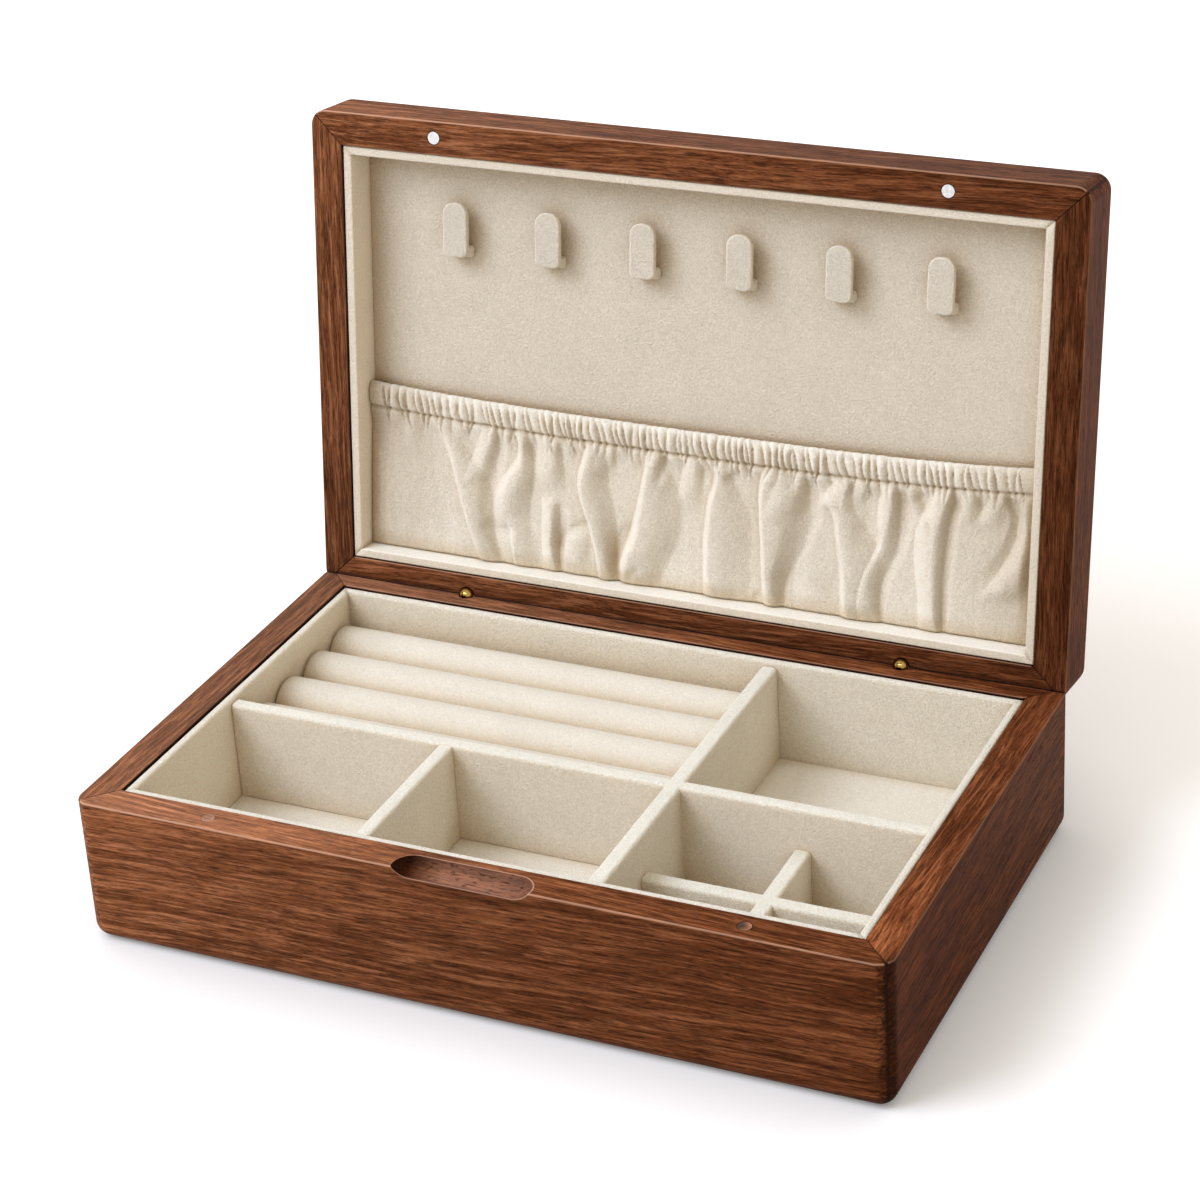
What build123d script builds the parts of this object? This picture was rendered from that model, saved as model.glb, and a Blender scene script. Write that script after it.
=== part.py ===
from build123d import *
import math
import os

# Cufflink display box with a hinged lid, a lined tray, ring rolls, necklace hooks and a pocket.
# Millimetres and degrees. X runs to the right, Y to the rear, Z up.
# The origin is the centre of the underside. The lid is built closed and then swung open.

# ------------------------------------------------------------------ driving dimensions
# Case
box_width = 320.0
box_depth = 200.0
base_height = 60.0
lid_height = 29.0
rail_width = 13.5
outer_round = 6.5             # vertical corners, underside of the base and top of the lid
seam_round = 0.8              # outer edges round the seam
inner_round = 0.5             # inner edges of the mating faces
mitre_groove = 0.22           # depth of the fine line along each mitre
rabbet_width = 4.0
panel_fit = 0.15              # round a panel in its rabbet
bottom_panel_thickness = 9.0
felt_thickness = 1.0
top_panel_thickness = 8.0
top_panel_chamfer = 0.4

# Lid swing
open_angle = 97.5
seam_gap = 0.3
hinge_inset = 5.0             # from the rear face to the hinge axis
hinge_spacing = 188.0

# Hinge
ball_radius = 3.0
ball_clearance = 0.35
slot_width = 2.1
slot_clearance = 0.05         # each side of the tongue
tongue_clearance = 0.2        # between the tongue's barrel and the web under the slot
neck_width = 2.4
stud_radius = 2.0
stud_length = 14.0
stud_fit = 0.02
stud_end_gap = 0.3
pin_radius = 0.6
pin_length = 5.6
pin_fit = 0.05                # in the tongue; the pin is pressed into the ears

# Finger scoop in the front rail
scoop_radius = 9.4
scoop_centres = 39.4          # between the centres of its round ends
scoop_inset = 2.1             # centre line behind the front face
scoop_rise = 5.9              # centre line above the rail

# Magnets
magnet_radius = 2.5
magnet_thickness = 3.0
magnet_spacing = 211.0
magnet_fit = 0.05
magnet_recess = 0.1
plug_thickness = 1.2
dish_depth = 0.45

# Tray
tray_gap = 0.7                # between the wood and the covered boards
board_thickness = 3.0
board_round = 1.2
board_drop = 1.2              # board edges below the mating faces
floor_thickness = 6.5
floor_fit = 0.1
divider_fit = 0.1             # at ends and laps
divider_drop = 2.5            # divider tops below the rail
divider_round = 1.7
long_divider_thickness = 6.0
long_divider_y = -10.5
cross_divider_thickness = 6.5
cross_divider_x = 44.0
front_left_divider_thickness = 6.0
front_left_divider_x = -49.0
low_bar_thickness = 6.5
low_bar_height = 24.5

# Ring rolls
roll_count = 4
roll_gap = 0.22
roll_height = 31.9
roll_end_gap = 0.3
roll_end_round = 2.5

# Lid lining
liner_panel_thickness = 5.0
hook_count = 6
hook_pitch = 40.5
hook_reach = 150.0            # from the hinge axis to the middle of a hook
hook_width = 10.4
hook_height = 21.8
hook_plate_thickness = 2.8
hook_gap = 5.0                # behind the plate
hook_foot_height = 4.0
hook_corner_round = 3.0
hook_bend_round = 2.2
hook_throat_round = 1.0
hook_edge_round = 0.9
pocket_height = 58.0          # cloth below the band
pocket_gap = 5.6              # behind the cloth and its band
pocket_fit = 0.3
pocket_cloth_thickness = 1.6
band_height = 11.0
band_thickness = 2.4

# ------------------------------------------------------------------ derived places
opening_width = box_width - 2 * rail_width
opening_depth = box_depth - 2 * rail_width
lid_seam_z = base_height + seam_gap
hinge_y = box_depth / 2 - hinge_inset
hinge_z = base_height + seam_gap / 2
hinge_axis = Axis((0, hinge_y, hinge_z), (1, 0, 0))
hinge_sides = {"left": -hinge_spacing / 2, "right": hinge_spacing / 2}
bevel_angle = open_angle / 2
magnet_y = -box_depth / 2 + rail_width / 2

board_width = opening_width - 2 * tray_gap
board_depth = opening_depth - 2 * tray_gap
tray_width = board_width - 2 * board_thickness
tray_depth = board_depth - 2 * board_thickness
board_bottom_z = felt_thickness + bottom_panel_thickness
board_top_z = base_height - board_drop
floor_z = board_bottom_z + floor_thickness
divider_top_z = base_height - divider_drop

lid_top_z = lid_seam_z + lid_height
lid_panel_z = lid_top_z - top_panel_thickness
liner_z = lid_panel_z - liner_panel_thickness
pocket_foot_y = tray_depth / 2 - pocket_fit
pocket_width = tray_width - 2 * pocket_fit

CENTRED = (Align.CENTER, Align.CENTER, Align.CENTER)
UPWARD = (Align.CENTER, Align.CENTER, Align.MIN)
DOWNWARD = (Align.CENTER, Align.CENTER, Align.MAX)


# ------------------------------------------------------------------ shared shapes
def slab(width, depth, low, high):
    """A rectangular block centred on X and Y between two heights."""
    return Pos(0, 0, low) * Box(width, depth, high - low, align=UPWARD)


def block(x_range, y_range, z_range):
    """A block between two X, two Y and two Z values."""
    size = [high - low for low, high in (x_range, y_range, z_range)]
    corner = (x_range[0], y_range[0], z_range[0])
    return Pos(*corner) * Box(*size, align=(Align.MIN, Align.MIN, Align.MIN))


def rod_along_x(radius, length):
    """A cylinder on the X axis, centred on the origin."""
    return Rot(0, 90, 0) * Cylinder(radius, length, align=CENTRED)


def mitred_sides(ring, width, depth, reach):
    """Cuts a rectangular ring into four sides along mitres that start at its outer corners."""
    margin = 1.0
    half_x = width / 2
    half_y = depth / 2
    across = [
        (-half_x - margin, -half_y - margin),
        (half_x + margin, -half_y - margin),
        (half_x - reach, -half_y + reach),
        (-half_x + reach, -half_y + reach),
    ]
    along = [
        (-half_x - margin, half_y + margin),
        (-half_x - margin, -half_y - margin),
        (-half_x + reach, -half_y + reach),
        (-half_x + reach, half_y - reach),
    ]
    bounds = ring.bounding_box()
    height = bounds.max.Z - bounds.min.Z + 2 * margin
    sides = {}
    for outline, names in ((across, ("front", "rear")), (along, ("left", "right"))):
        wedge = Pos(0, 0, bounds.min.Z - margin) * extrude(Polygon(*outline, align=None), height)
        for name, turn in zip(names, (0, 180)):
            sides[name] = ring & Rot(0, 0, turn) * wedge
    return sides


def case_ring(height, panel_depth):
    """One half of the case, with its mating face at Z = 0 and its body below."""
    ring = slab(box_width, box_depth, -height, 0)
    corners = ring.edges().filter_by(Axis.Z)
    far_edges = ring.edges().group_by(Axis.Z)[0]
    ring = fillet(corners + far_edges, outer_round)
    ring -= stop_bevel(height)
    mating_face = ring.faces().sort_by(Axis.Z)[-1]
    ring = fillet(mating_face.outer_wire().edges(), seam_round)
    ring -= slab(opening_width, opening_depth, -height, 0)
    mating_face = ring.faces().sort_by(Axis.Z)[-1]
    ring = fillet(mating_face.inner_wires()[0].edges(), inner_round)
    rabbet = slab(opening_width + 2 * rabbet_width, opening_depth + 2 * rabbet_width, 0, panel_depth)
    ring -= Pos(0, 0, -height) * rabbet
    return ring - mitre_lines()


def stop_bevel(height):
    """The wood cut away behind the hinge, down to the plane on which the open lid stops."""
    cutter = Box(box_width * 2, height * 4, height * 4, align=UPWARD)
    cutter = Rot(-bevel_angle, 0, 0) * Pos(0, 0, -seam_gap / 2) * cutter
    behind = block((-box_width, box_width), (-height, height), (-height, height))
    behind = Pos(0, height - seam_gap / 2 * math.tan(math.radians(bevel_angle)), 0) * behind
    return Pos(0, hinge_y, seam_gap / 2) * (cutter & behind)


def mitre_lines():
    """Fine grooves along the four mitres of a mating face."""
    side = mitre_groove * math.sqrt(2)
    line = Rot(45, 0, 0) * Box(rail_width * 4, side, side, align=CENTRED)
    grooves = []
    for x_sign in (-1, 1):
        for y_sign in (-1, 1):
            corner = Pos(x_sign * (box_width - rail_width) / 2, y_sign * (box_depth - rail_width) / 2, 0)
            grooves.append(corner * Rot(0, 0, 45 * x_sign * y_sign) * line)
    return grooves


def hinge_seats():
    """The space that both rear rails leave for the hinges."""
    seats = []
    for x in hinge_sides.values():
        ball = Sphere(ball_radius + ball_clearance)
        stud = Cylinder(stud_radius + stud_fit, 2 * (stud_length + stud_end_gap), align=CENTRED)
        seats.append(Pos(x, hinge_y, hinge_z) * (ball + stud))
    return seats


def magnet_places(height):
    """Where the two magnets of one half of the case sit, at the given height."""
    return [Pos(x, magnet_y, height) for x in (-magnet_spacing / 2, magnet_spacing / 2)]


# ------------------------------------------------------------------ base
def finger_scoop():
    """A round-ended hollow in the front rail's top edge."""
    ends = [Pos(x, 0, 0) * Sphere(scoop_radius) for x in (-scoop_centres / 2, scoop_centres / 2)]
    hollow = rod_along_x(scoop_radius, scoop_centres) + ends
    return Pos(0, -box_depth / 2 + scoop_inset, base_height + scoop_rise) * hollow


def base_frame():
    depth = plug_thickness + magnet_thickness + magnet_fit
    ring = Pos(0, 0, base_height) * case_ring(base_height, felt_thickness + bottom_panel_thickness)
    ring -= finger_scoop()
    bore = Cylinder(magnet_radius + magnet_fit, depth, align=DOWNWARD)
    ring -= [place * bore for place in magnet_places(base_height)]
    ring -= hinge_seats()
    sides = mitred_sides(ring, box_width, box_depth, rail_width + 1)
    return {f"base_{name}_rail": side for name, side in sides.items()}


def base_panels():
    width = opening_width + 2 * (rabbet_width - panel_fit)
    depth = opening_depth + 2 * (rabbet_width - panel_fit)
    return {
        "base_bottom_panel": slab(width, depth, felt_thickness, board_bottom_z),
        "underside_felt": slab(width, depth, 0, felt_thickness),
    }


def base_magnets():
    """Magnets let into the front rail under thin dished plugs."""
    magnet = Cylinder(magnet_radius, magnet_thickness, align=DOWNWARD)
    plug = Cylinder(magnet_radius, plug_thickness, align=DOWNWARD)
    dish_radius = (magnet_radius ** 2 + dish_depth ** 2) / (2 * dish_depth)
    plug -= Pos(0, 0, dish_radius - dish_depth) * Sphere(dish_radius)
    magnet_top = base_height - plug_thickness
    return {
        "base_magnets": Compound([place * magnet for place in magnet_places(magnet_top)]),
        "base_magnet_plugs": Compound([place * plug for place in magnet_places(base_height)]),
    }


# ------------------------------------------------------------------ tray
def board_ring(low, high, rounded_end):
    """Covered boards round the opening, with rounded edges at one end: 0 is the low end, -1 the high."""
    ring = slab(board_width, board_depth, low, high) - slab(tray_width, tray_depth, low, high)
    return fillet(ring.edges().group_by(Axis.Z)[rounded_end], board_round)


def tray_boards():
    ring = board_ring(board_bottom_z, board_top_z, -1)
    sides = mitred_sides(ring, board_width, board_depth, board_thickness + 1)
    boards = {f"tray_{name}_wall": side for name, side in sides.items()}
    boards["tray_floor"] = slab(
        tray_width - 2 * floor_fit, tray_depth - 2 * floor_fit, board_bottom_z, floor_z
    )
    return boards


def divider(x_range, y_range, top_z):
    """A covered divider that stands on the floor, with its two long top edges rounded."""
    solid = block(x_range, y_range, (floor_z, top_z))
    along = Axis.X if x_range[1] - x_range[0] > y_range[1] - y_range[0] else Axis.Y
    return fillet(solid.edges().group_by(Axis.Z)[-1].filter_by(along), divider_round)


def span(centre, thickness):
    """The two faces of a divider of the given thickness."""
    return (centre - thickness / 2, centre + thickness / 2)


def lap(first, second, along_x, along_y, top_z):
    """Half-laps two crossing dividers: the first loses its top half there, the second its lower half."""
    middle = (floor_z + top_z) / 2
    wide_x = (along_x[0] - divider_fit, along_x[1] + divider_fit)
    wide_y = (along_y[0] - divider_fit, along_y[1] + divider_fit)
    first -= block(wide_x, wide_y, (middle - divider_fit / 2, top_z))
    second -= block(wide_x, wide_y, (floor_z, middle + divider_fit / 2))
    return first, second


def tray_dividers():
    left = -tray_width / 2 + divider_fit
    right = tray_width / 2 - divider_fit
    front = -tray_depth / 2 + divider_fit
    rear = tray_depth / 2 - divider_fit
    long_faces = span(long_divider_y, long_divider_thickness)
    cross_faces = span(cross_divider_x, cross_divider_thickness)
    front_left_faces = span(front_left_divider_x, front_left_divider_thickness)

    long_one = divider((left, right), long_faces, divider_top_z)
    cross_one = divider(cross_faces, (front, rear), divider_top_z)
    long_one, cross_one = lap(long_one, cross_one, cross_faces, long_faces, divider_top_z)
    short_end = long_faces[0] - divider_fit

    cell_left = cross_faces[1] + divider_fit
    low_top_z = floor_z + low_bar_height
    low_x = span((cell_left + right) / 2, low_bar_thickness)
    low_y = span((front + short_end) / 2, low_bar_thickness)
    low_long = divider((cell_left, right), low_y, low_top_z)
    low_cross = divider(low_x, (front, short_end), low_top_z)
    low_long, low_cross = lap(low_long, low_cross, low_x, low_y, low_top_z)
    return {
        "long_divider": long_one,
        "cross_divider": cross_one,
        "front_left_divider": divider(front_left_faces, (front, short_end), divider_top_z),
        "low_long_bar": low_long,
        "low_cross_bar": low_cross,
    }


def ring_rolls():
    """Padded rolls side by side behind the long divider: flat sides, round tops, softened ends."""
    left = -tray_width / 2 + roll_end_gap
    right = cross_divider_x - cross_divider_thickness / 2 - roll_end_gap
    front = long_divider_y + long_divider_thickness / 2
    pitch = (tray_depth / 2 - front) / roll_count
    radius = pitch / 2 - roll_gap
    side_height = roll_height - radius
    profile = Pos(0, side_height / 2) * Rectangle(2 * radius, side_height)
    profile += Pos(0, side_height) * Circle(radius)
    roll = extrude(Plane.YZ * profile, right - left)
    for end in (0, -1):
        edges = roll.faces().sort_by(Axis.X)[end].edges()
        roll = fillet(edges.sort_by(Axis.Z)[1:], roll_end_round)
    rolls = {}
    for index in range(roll_count):
        y = tray_depth / 2 - (index + 0.5) * pitch
        rolls[f"ring_roll_{index + 1}"] = Pos(left, y, floor_z) * roll
    return rolls


# ------------------------------------------------------------------ lid, closed
def lid_frame():
    ring = Pos(0, 0, lid_seam_z) * Rot(0, 180, 0) * case_ring(lid_height, top_panel_thickness)
    bore = Cylinder(magnet_radius + magnet_fit, magnet_recess + magnet_thickness, align=UPWARD)
    ring -= [place * bore for place in magnet_places(lid_seam_z)]
    ring -= hinge_seats()
    sides = mitred_sides(ring, box_width, box_depth, rail_width + 1)
    return {f"lid_{name}_rail": side for name, side in sides.items()}


def lid_boards():
    width = opening_width + 2 * (rabbet_width - panel_fit)
    depth = opening_depth + 2 * (rabbet_width - panel_fit)
    top_panel = slab(width, depth, lid_panel_z, lid_top_z)
    top_panel = chamfer(top_panel.edges().group_by(Axis.Z)[-1], top_panel_chamfer)
    ring = board_ring(lid_seam_z + board_drop, lid_panel_z, 0)
    sides = mitred_sides(ring, board_width, board_depth, board_thickness + 1)
    boards = {f"lid_{name}_strip": side for name, side in sides.items()}
    boards["lid_top_panel"] = top_panel
    boards["lid_liner_panel"] = slab(
        tray_width - 2 * floor_fit, tray_depth - 2 * floor_fit, liner_z, lid_panel_z
    )
    return boards


def lid_magnets():
    magnet = Cylinder(magnet_radius, magnet_thickness, align=UPWARD)
    return Compound([place * magnet for place in magnet_places(lid_seam_z + magnet_recess)])


def necklace_hook():
    """A covered J hook under the liner panel, centred on X = 0: a round-topped plate on a foot."""
    middle_y = hinge_y - hook_reach
    foot_y = middle_y + hook_height / 2
    front_z = liner_z - hook_gap - hook_plate_thickness
    side = Pos(middle_y, front_z + hook_plate_thickness / 2) * Rectangle(hook_height, hook_plate_thickness)
    side += Pos(foot_y, front_z) * Rectangle(
        hook_foot_height, liner_z - front_z, align=(Align.MAX, Align.MIN)
    )
    side = fillet(side.vertices().sort_by(Axis.X)[-2:].sort_by(Axis.Y)[0], hook_bend_round)
    throat = (foot_y - hook_foot_height, liner_z - hook_gap)
    side = fillet(side.vertices().sort_by_distance(Vector(*throat))[0], hook_throat_round)
    body = extrude(Plane.YZ * side, hook_width, both=True)

    outline = Pos(0, hook_width / 4) * Rectangle(hook_width, hook_height - hook_width / 2)
    outline = fillet(outline.vertices().group_by(Axis.Y)[-1], hook_corner_round)
    outline += Pos(0, (hook_width - hook_height) / 2) * Circle(hook_width / 2)
    hook = body & extrude(Pos(0, middle_y, front_z) * outline, liner_z - front_z)
    return fillet(hook.faces().sort_by(Axis.Z)[0].outer_wire().edges(), hook_edge_round)


def necklace_hooks():
    hook = necklace_hook()
    first_x = -(hook_count - 1) / 2 * hook_pitch
    return {f"necklace_hook_{i + 1}": Pos(first_x + i * hook_pitch, 0, 0) * hook for i in range(hook_count)}


def lid_pocket():
    """The pocket's cloth and its elastic band, a gap away from the liner panel."""
    band_y = pocket_foot_y - pocket_height
    half_width = pocket_width / 2
    across = (-half_width, half_width)
    back_z = liner_z - pocket_gap
    cloth = block(across, (band_y, pocket_foot_y), (back_z - pocket_cloth_thickness, back_z))
    band = block(across, (band_y - band_height, band_y), (back_z - band_thickness, back_z))
    band = fillet(band.edges().filter_by(Axis.X), band_thickness / 3)
    return {"pocket_cloth": cloth, "pocket_band": band}


# ------------------------------------------------------------------ hinge, closed
web_depth = ball_radius * math.sin(math.radians(bevel_angle)) + slot_clearance
stud_start = ball_radius + seam_gap / 2


def base_knuckle():
    """A slotted ball on a stud that is driven into the base."""
    slot = Pos(0, 0, -web_depth) * Box(slot_width, 4 * ball_radius, 4 * ball_radius, align=UPWARD)
    stud = Pos(0, 0, -web_depth) * Cylinder(stud_radius, stud_length - web_depth, align=DOWNWARD)
    return Sphere(ball_radius) - slot + stud - rod_along_x(pin_radius, 2 * ball_radius)


def lid_knuckle():
    """A tongue that turns in the slot, on a stud that is driven into the lid."""
    thickness = slot_width - 2 * slot_clearance
    barrel = rod_along_x(web_depth - tongue_clearance, thickness)
    half_disc = Rot(bevel_angle, 0, 0) * Box(thickness, 2 * ball_radius, ball_radius, align=UPWARD)
    cap = Sphere(ball_radius) & half_disc
    neck = Box(thickness, neck_width, stud_start, align=UPWARD)
    stud = Pos(0, 0, stud_start) * Cylinder(stud_radius, stud_length - stud_start, align=UPWARD)
    return barrel + cap + neck + stud - rod_along_x(pin_radius + pin_fit, 2 * thickness)


def hinge_pieces(kind, solid):
    """The same hinge piece at the left and the right hinge."""
    return {
        f"{side}_hinge_{kind}": Pos(x, hinge_y, hinge_z) * solid for side, x in hinge_sides.items()
    }


# ------------------------------------------------------------------ assembly
def base_pieces():
    pieces = base_frame() | base_panels() | base_magnets()
    pieces |= tray_boards() | tray_dividers() | ring_rolls()
    pieces |= hinge_pieces("base_knuckle", base_knuckle())
    pieces |= hinge_pieces("pin", rod_along_x(pin_radius, pin_length))
    return pieces


def lid_pieces():
    pieces = lid_frame() | lid_boards() | {"lid_magnets": lid_magnets()}
    pieces |= necklace_hooks() | lid_pocket()
    pieces |= hinge_pieces("lid_knuckle", lid_knuckle())
    return pieces


def main():
    os.makedirs("parts", exist_ok=True)
    pieces = base_pieces()
    for name, piece in lid_pieces().items():
        pieces[name] = piece.rotate(hinge_axis, -open_angle)
    for name, piece in pieces.items():
        export_step(piece, f"parts/{name}.step")


main()
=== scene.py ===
import math

import bmesh
import bpy
import numpy as np
from mathutils import Matrix, Vector, noise


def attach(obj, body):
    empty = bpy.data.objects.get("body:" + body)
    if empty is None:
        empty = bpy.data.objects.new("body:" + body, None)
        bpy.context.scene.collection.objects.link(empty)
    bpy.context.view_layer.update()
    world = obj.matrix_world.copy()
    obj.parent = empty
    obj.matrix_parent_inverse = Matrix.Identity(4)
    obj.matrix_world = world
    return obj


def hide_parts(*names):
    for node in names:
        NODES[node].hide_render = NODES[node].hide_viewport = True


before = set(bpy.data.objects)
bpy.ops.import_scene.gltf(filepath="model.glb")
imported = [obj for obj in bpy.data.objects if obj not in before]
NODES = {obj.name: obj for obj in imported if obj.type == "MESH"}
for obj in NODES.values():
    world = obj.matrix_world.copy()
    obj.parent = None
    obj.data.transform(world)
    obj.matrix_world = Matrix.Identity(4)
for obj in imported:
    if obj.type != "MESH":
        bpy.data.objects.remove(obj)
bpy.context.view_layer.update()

# Cufflink display box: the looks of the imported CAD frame. Materials, light and camera are in metres, and
# shapes in millimetres until they become meshes.
MM = 0.001

# Hinge axis, and how the lid stands open at rest
AXIS_Y, AXIS_Z = 0.095, 0.06015
OPEN_ANGLE = math.radians(97.5)
LEAN = OPEN_ANGLE - math.pi / 2          # how far the open lid leans back
HALF_SEAM = 0.15                         # millimetres from the axis to the lid's mating face

# Camera, solved from the photograph's edges
CAMERA_PLACE = (0.47128, -0.93535, 0.66640)
CAMERA_YAW, CAMERA_PITCH, CAMERA_ROLL = 0.45560082, 0.48096907, -0.06202423
CAMERA_LENS, SENSOR = 96.898, 36.0
NEAREST, FARTHEST = 0.05, 30.0

# Light: one broad soft lamp at the upper left, and a surround that is brighter on that side
KEY_PLACE, KEY_TARGET, KEY_SIZE, KEY_POWER = (-1.36, -1.24, 1.95), (0, 0, 0.08), 1.6, 36.0
KEY_COLOUR = (0.945, 1.02, 1.19)
SKY_SIDE, SKY_LEVEL, SKY_SWING = (-0.62, -0.25, 0.74), 0.62, 0.50
SKY_COLOUR = (1.08, 0.98, 0.86, 1)
WHITE = (1.0, 1.0, 1.0, 1.0)

# Floor: its half size, how far it lies under the box, and the glow that keeps it pale near by and far off
FLOOR_HALF, FLOOR_DROP = 6.0, 0.0002
FLOOR_GLOW, FAR_GLOW = 0.20, 0.6


# ---- node materials
class Graph:
    """A short way to write the node tree of a material or of the world."""

    def __init__(self, owner):
        owner.use_nodes = True
        self.owner, self.tree = owner, owner.node_tree
        self.tree.nodes.clear()

    def node(self, kind, inputs=None, **settings):
        made = self.tree.nodes.new("ShaderNode" + kind)
        for key, value in settings.items():
            setattr(made, key, value)
        for key, value in (inputs or {}).items():
            if isinstance(value, bpy.types.NodeSocket):
                self.tree.links.new(value, made.inputs[key])
            else:
                made.inputs[key].default_value = value
        return made

    def place(self):
        return self.node("TexCoord").outputs["Object"]

    def facing(self):
        return self.node("TexCoord").outputs["Normal"]

    def vector(self, operation, a, b):
        return self.node("VectorMath", {0: a, 1: b}, operation=operation).outputs[0]

    def scaled(self, vector, factors):
        return self.vector("MULTIPLY", vector, factors)

    def joined(self, parts):
        return self.node("CombineXYZ", parts).outputs[0]

    def parts(self, vector):
        return self.node("SeparateXYZ", {"Vector": vector}).outputs

    def size(self, vector):
        return self.node("VectorMath", {0: vector}, operation="LENGTH").outputs["Value"]

    def turn(self, vector, axis, angle, centre=(0, 0, 0)):
        inputs = {"Vector": vector, "Center": centre, "Angle": angle}
        return self.node("VectorRotate", inputs, rotation_type=axis + "_AXIS").outputs[0]

    def math(self, operation, a, b=0.0):
        return self.node("Math", {0: a, 1: b}, operation=operation).outputs[0]

    def plus(self, a, b):
        return self.math("ADD", a, b)

    def minus(self, a, b):
        return self.math("SUBTRACT", a, b)

    def times(self, product, *others):
        for other in others:
            product = self.math("MULTIPLY", product, other)
        return product

    def power(self, a, b):
        return self.math("POWER", a, b)

    def absolute(self, a):
        return self.math("ABSOLUTE", a)

    def spread(self, value, low, high, to_low=0.0, to_high=1.0):
        inputs = {"Value": value, "From Min": low, "From Max": high, "To Min": to_low, "To Max": to_high}
        return self.node("MapRange", inputs).outputs[0]

    def noise(self, vector, scale, detail=2.0, roughness=0.5, distortion=0.0):
        inputs = {"Vector": vector, "Scale": scale, "Detail": detail, "Roughness": roughness,
                  "Distortion": distortion}
        return self.node("TexNoise", inputs).outputs[0]

    def between(self, share, a, b):
        """The number that lies at this share of the way from a to b."""
        return self.node("Mix", {0: share, 2: a, 3: b}).outputs[0]

    def mix(self, share, a, b, blend="MIX"):
        inputs = {0: share, 6: a, 7: b}
        return self.node("Mix", inputs, data_type="RGBA", blend_type=blend).outputs[2]

    def tinted(self, colour, red, green, blue):
        """The colour with each of its channels multiplied."""
        tint = self.node("CombineColor", {0: red, 1: green, 2: blue}).outputs[0]
        return self.mix(1.0, colour, tint, "MULTIPLY")

    def bump(self, height, strength, distance):
        return self.node("Bump", {"Height": height, "Strength": strength, "Distance": distance}).outputs[0]

    def openness(self, distance):
        """1 in the open, towards 0 where other surfaces stand within the distance."""
        return self.node("AmbientOcclusion", {"Distance": distance}, samples=6).outputs["AO"]

    def seen(self):
        """1 for rays from the camera, from gloss and through glass, which see the plain pale background."""
        rays = self.node("LightPath").outputs
        return self.math("MAXIMUM", rays["Is Camera Ray"],
                         self.math("MAXIMUM", rays["Is Glossy Ray"], rays["Is Transmission Ray"]))

    def finish(self, inputs):
        shader = self.node("BsdfPrincipled", inputs)
        self.node("OutputMaterial", {"Surface": shader.outputs[0]})
        return self.owner


def new_graph(name):
    return Graph(bpy.data.materials.new(name))


# ---- walnut
SCOOP_RADIUS, SCOOP_HALF, SCOOP_Y, SCOOP_Z = 0.0094, 0.0197, -0.0979, 0.0659
MAGNET_X, MAGNET_Y = 0.1055, -0.09325
MITRE_LINE = 0.060                       # |x| - |y| on every mitre
CORNER_LINE = (0.1592, -0.0972, 0)       # the dark upright line at the front right corner
WALNUT_TONES = ((0.082, 0.0265, 0.0095), (0.172, 0.0610, 0.0250), (0.300, 0.124, 0.0590),
                (0.026, 0.0092, 0.0045))    # low, middle, high and the pores
# colours of a painted highlight on the arrises and of a painted sheen on the top faces
ARRIS_HIGHLIGHT, TOP_SHEEN = (0.58, 0.345, 0.235, 1), (0.50, 0.33, 0.25, 1)
# colours of painted shade in crevices and in the thin gap beside the lining
CREVICE_SHADE, LINING_GAP_SHADE = (0.006, 0.003, 0.002, 1), (0.004, 0.0018, 0.001, 1)
JOINT_LINE, SCOOP_WOOD = (0.012, 0.006, 0.004, 1), (0.34, 0.215, 0.180, 1)
# the scoop's pits, and the colour of the painted highlight round its edge
SCOOP_PIT, SCOOP_EDGE_HIGHLIGHT = (0.05, 0.022, 0.014, 1), (0.50, 0.295, 0.215, 1)
# painted light and shade on each rail at the two ends of its mating face: a painted sheen on the base's top
# faces only, and on the whole rail of the lid
RAIL_LIGHT_RUNS = {"base_front": (1.42, 1.16), "base_rear": (1.1, 1.1), "base_left": (0.96, 0.70),
        "base_right": (1.85, 1.2), "lid_front": (1.0, 1.0), "lid_rear": (0.84, 0.84),
        "lid_left": (0.85, 0.56), "lid_right": (0.72, 0.72)}


def fade(g, p, lid, along, rim):
    """Painted light, brighter at the left of the box and darker to its right, and, by rim, painted light and
    shade along the faces that meet the lid.
    """
    place = g.parts(p)
    # painted light, falling off from the left of the box to its right
    left, right = (1.52, 0.68) if lid else (1.62, 0.78)
    tone = g.times(g.spread(place["X"], -0.155, -0.02, left, 1.10),
                   g.spread(place["X"], -0.02, 0.16, 1.0, right))
    ends = (-0.085, -0.02) if along == "y" and not lid else (-0.07, 0.07)
    run = g.spread(place[along.upper()], *ends, *rim)
    if lid:
        return g.times(tone, run)
    # on the base the run is a painted sheen on the top faces only
    up = g.parts(g.facing())["Z"]
    tone = g.times(tone, g.spread(up, 0.5, 0.95, 1.0, run))
    near = g.size(g.scaled(g.vector("SUBTRACT", p, CORNER_LINE), (1, 1, 0)))
    return g.times(tone, g.spread(near, 0.0018, 0.0050, 0.38, 1.0))


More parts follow.
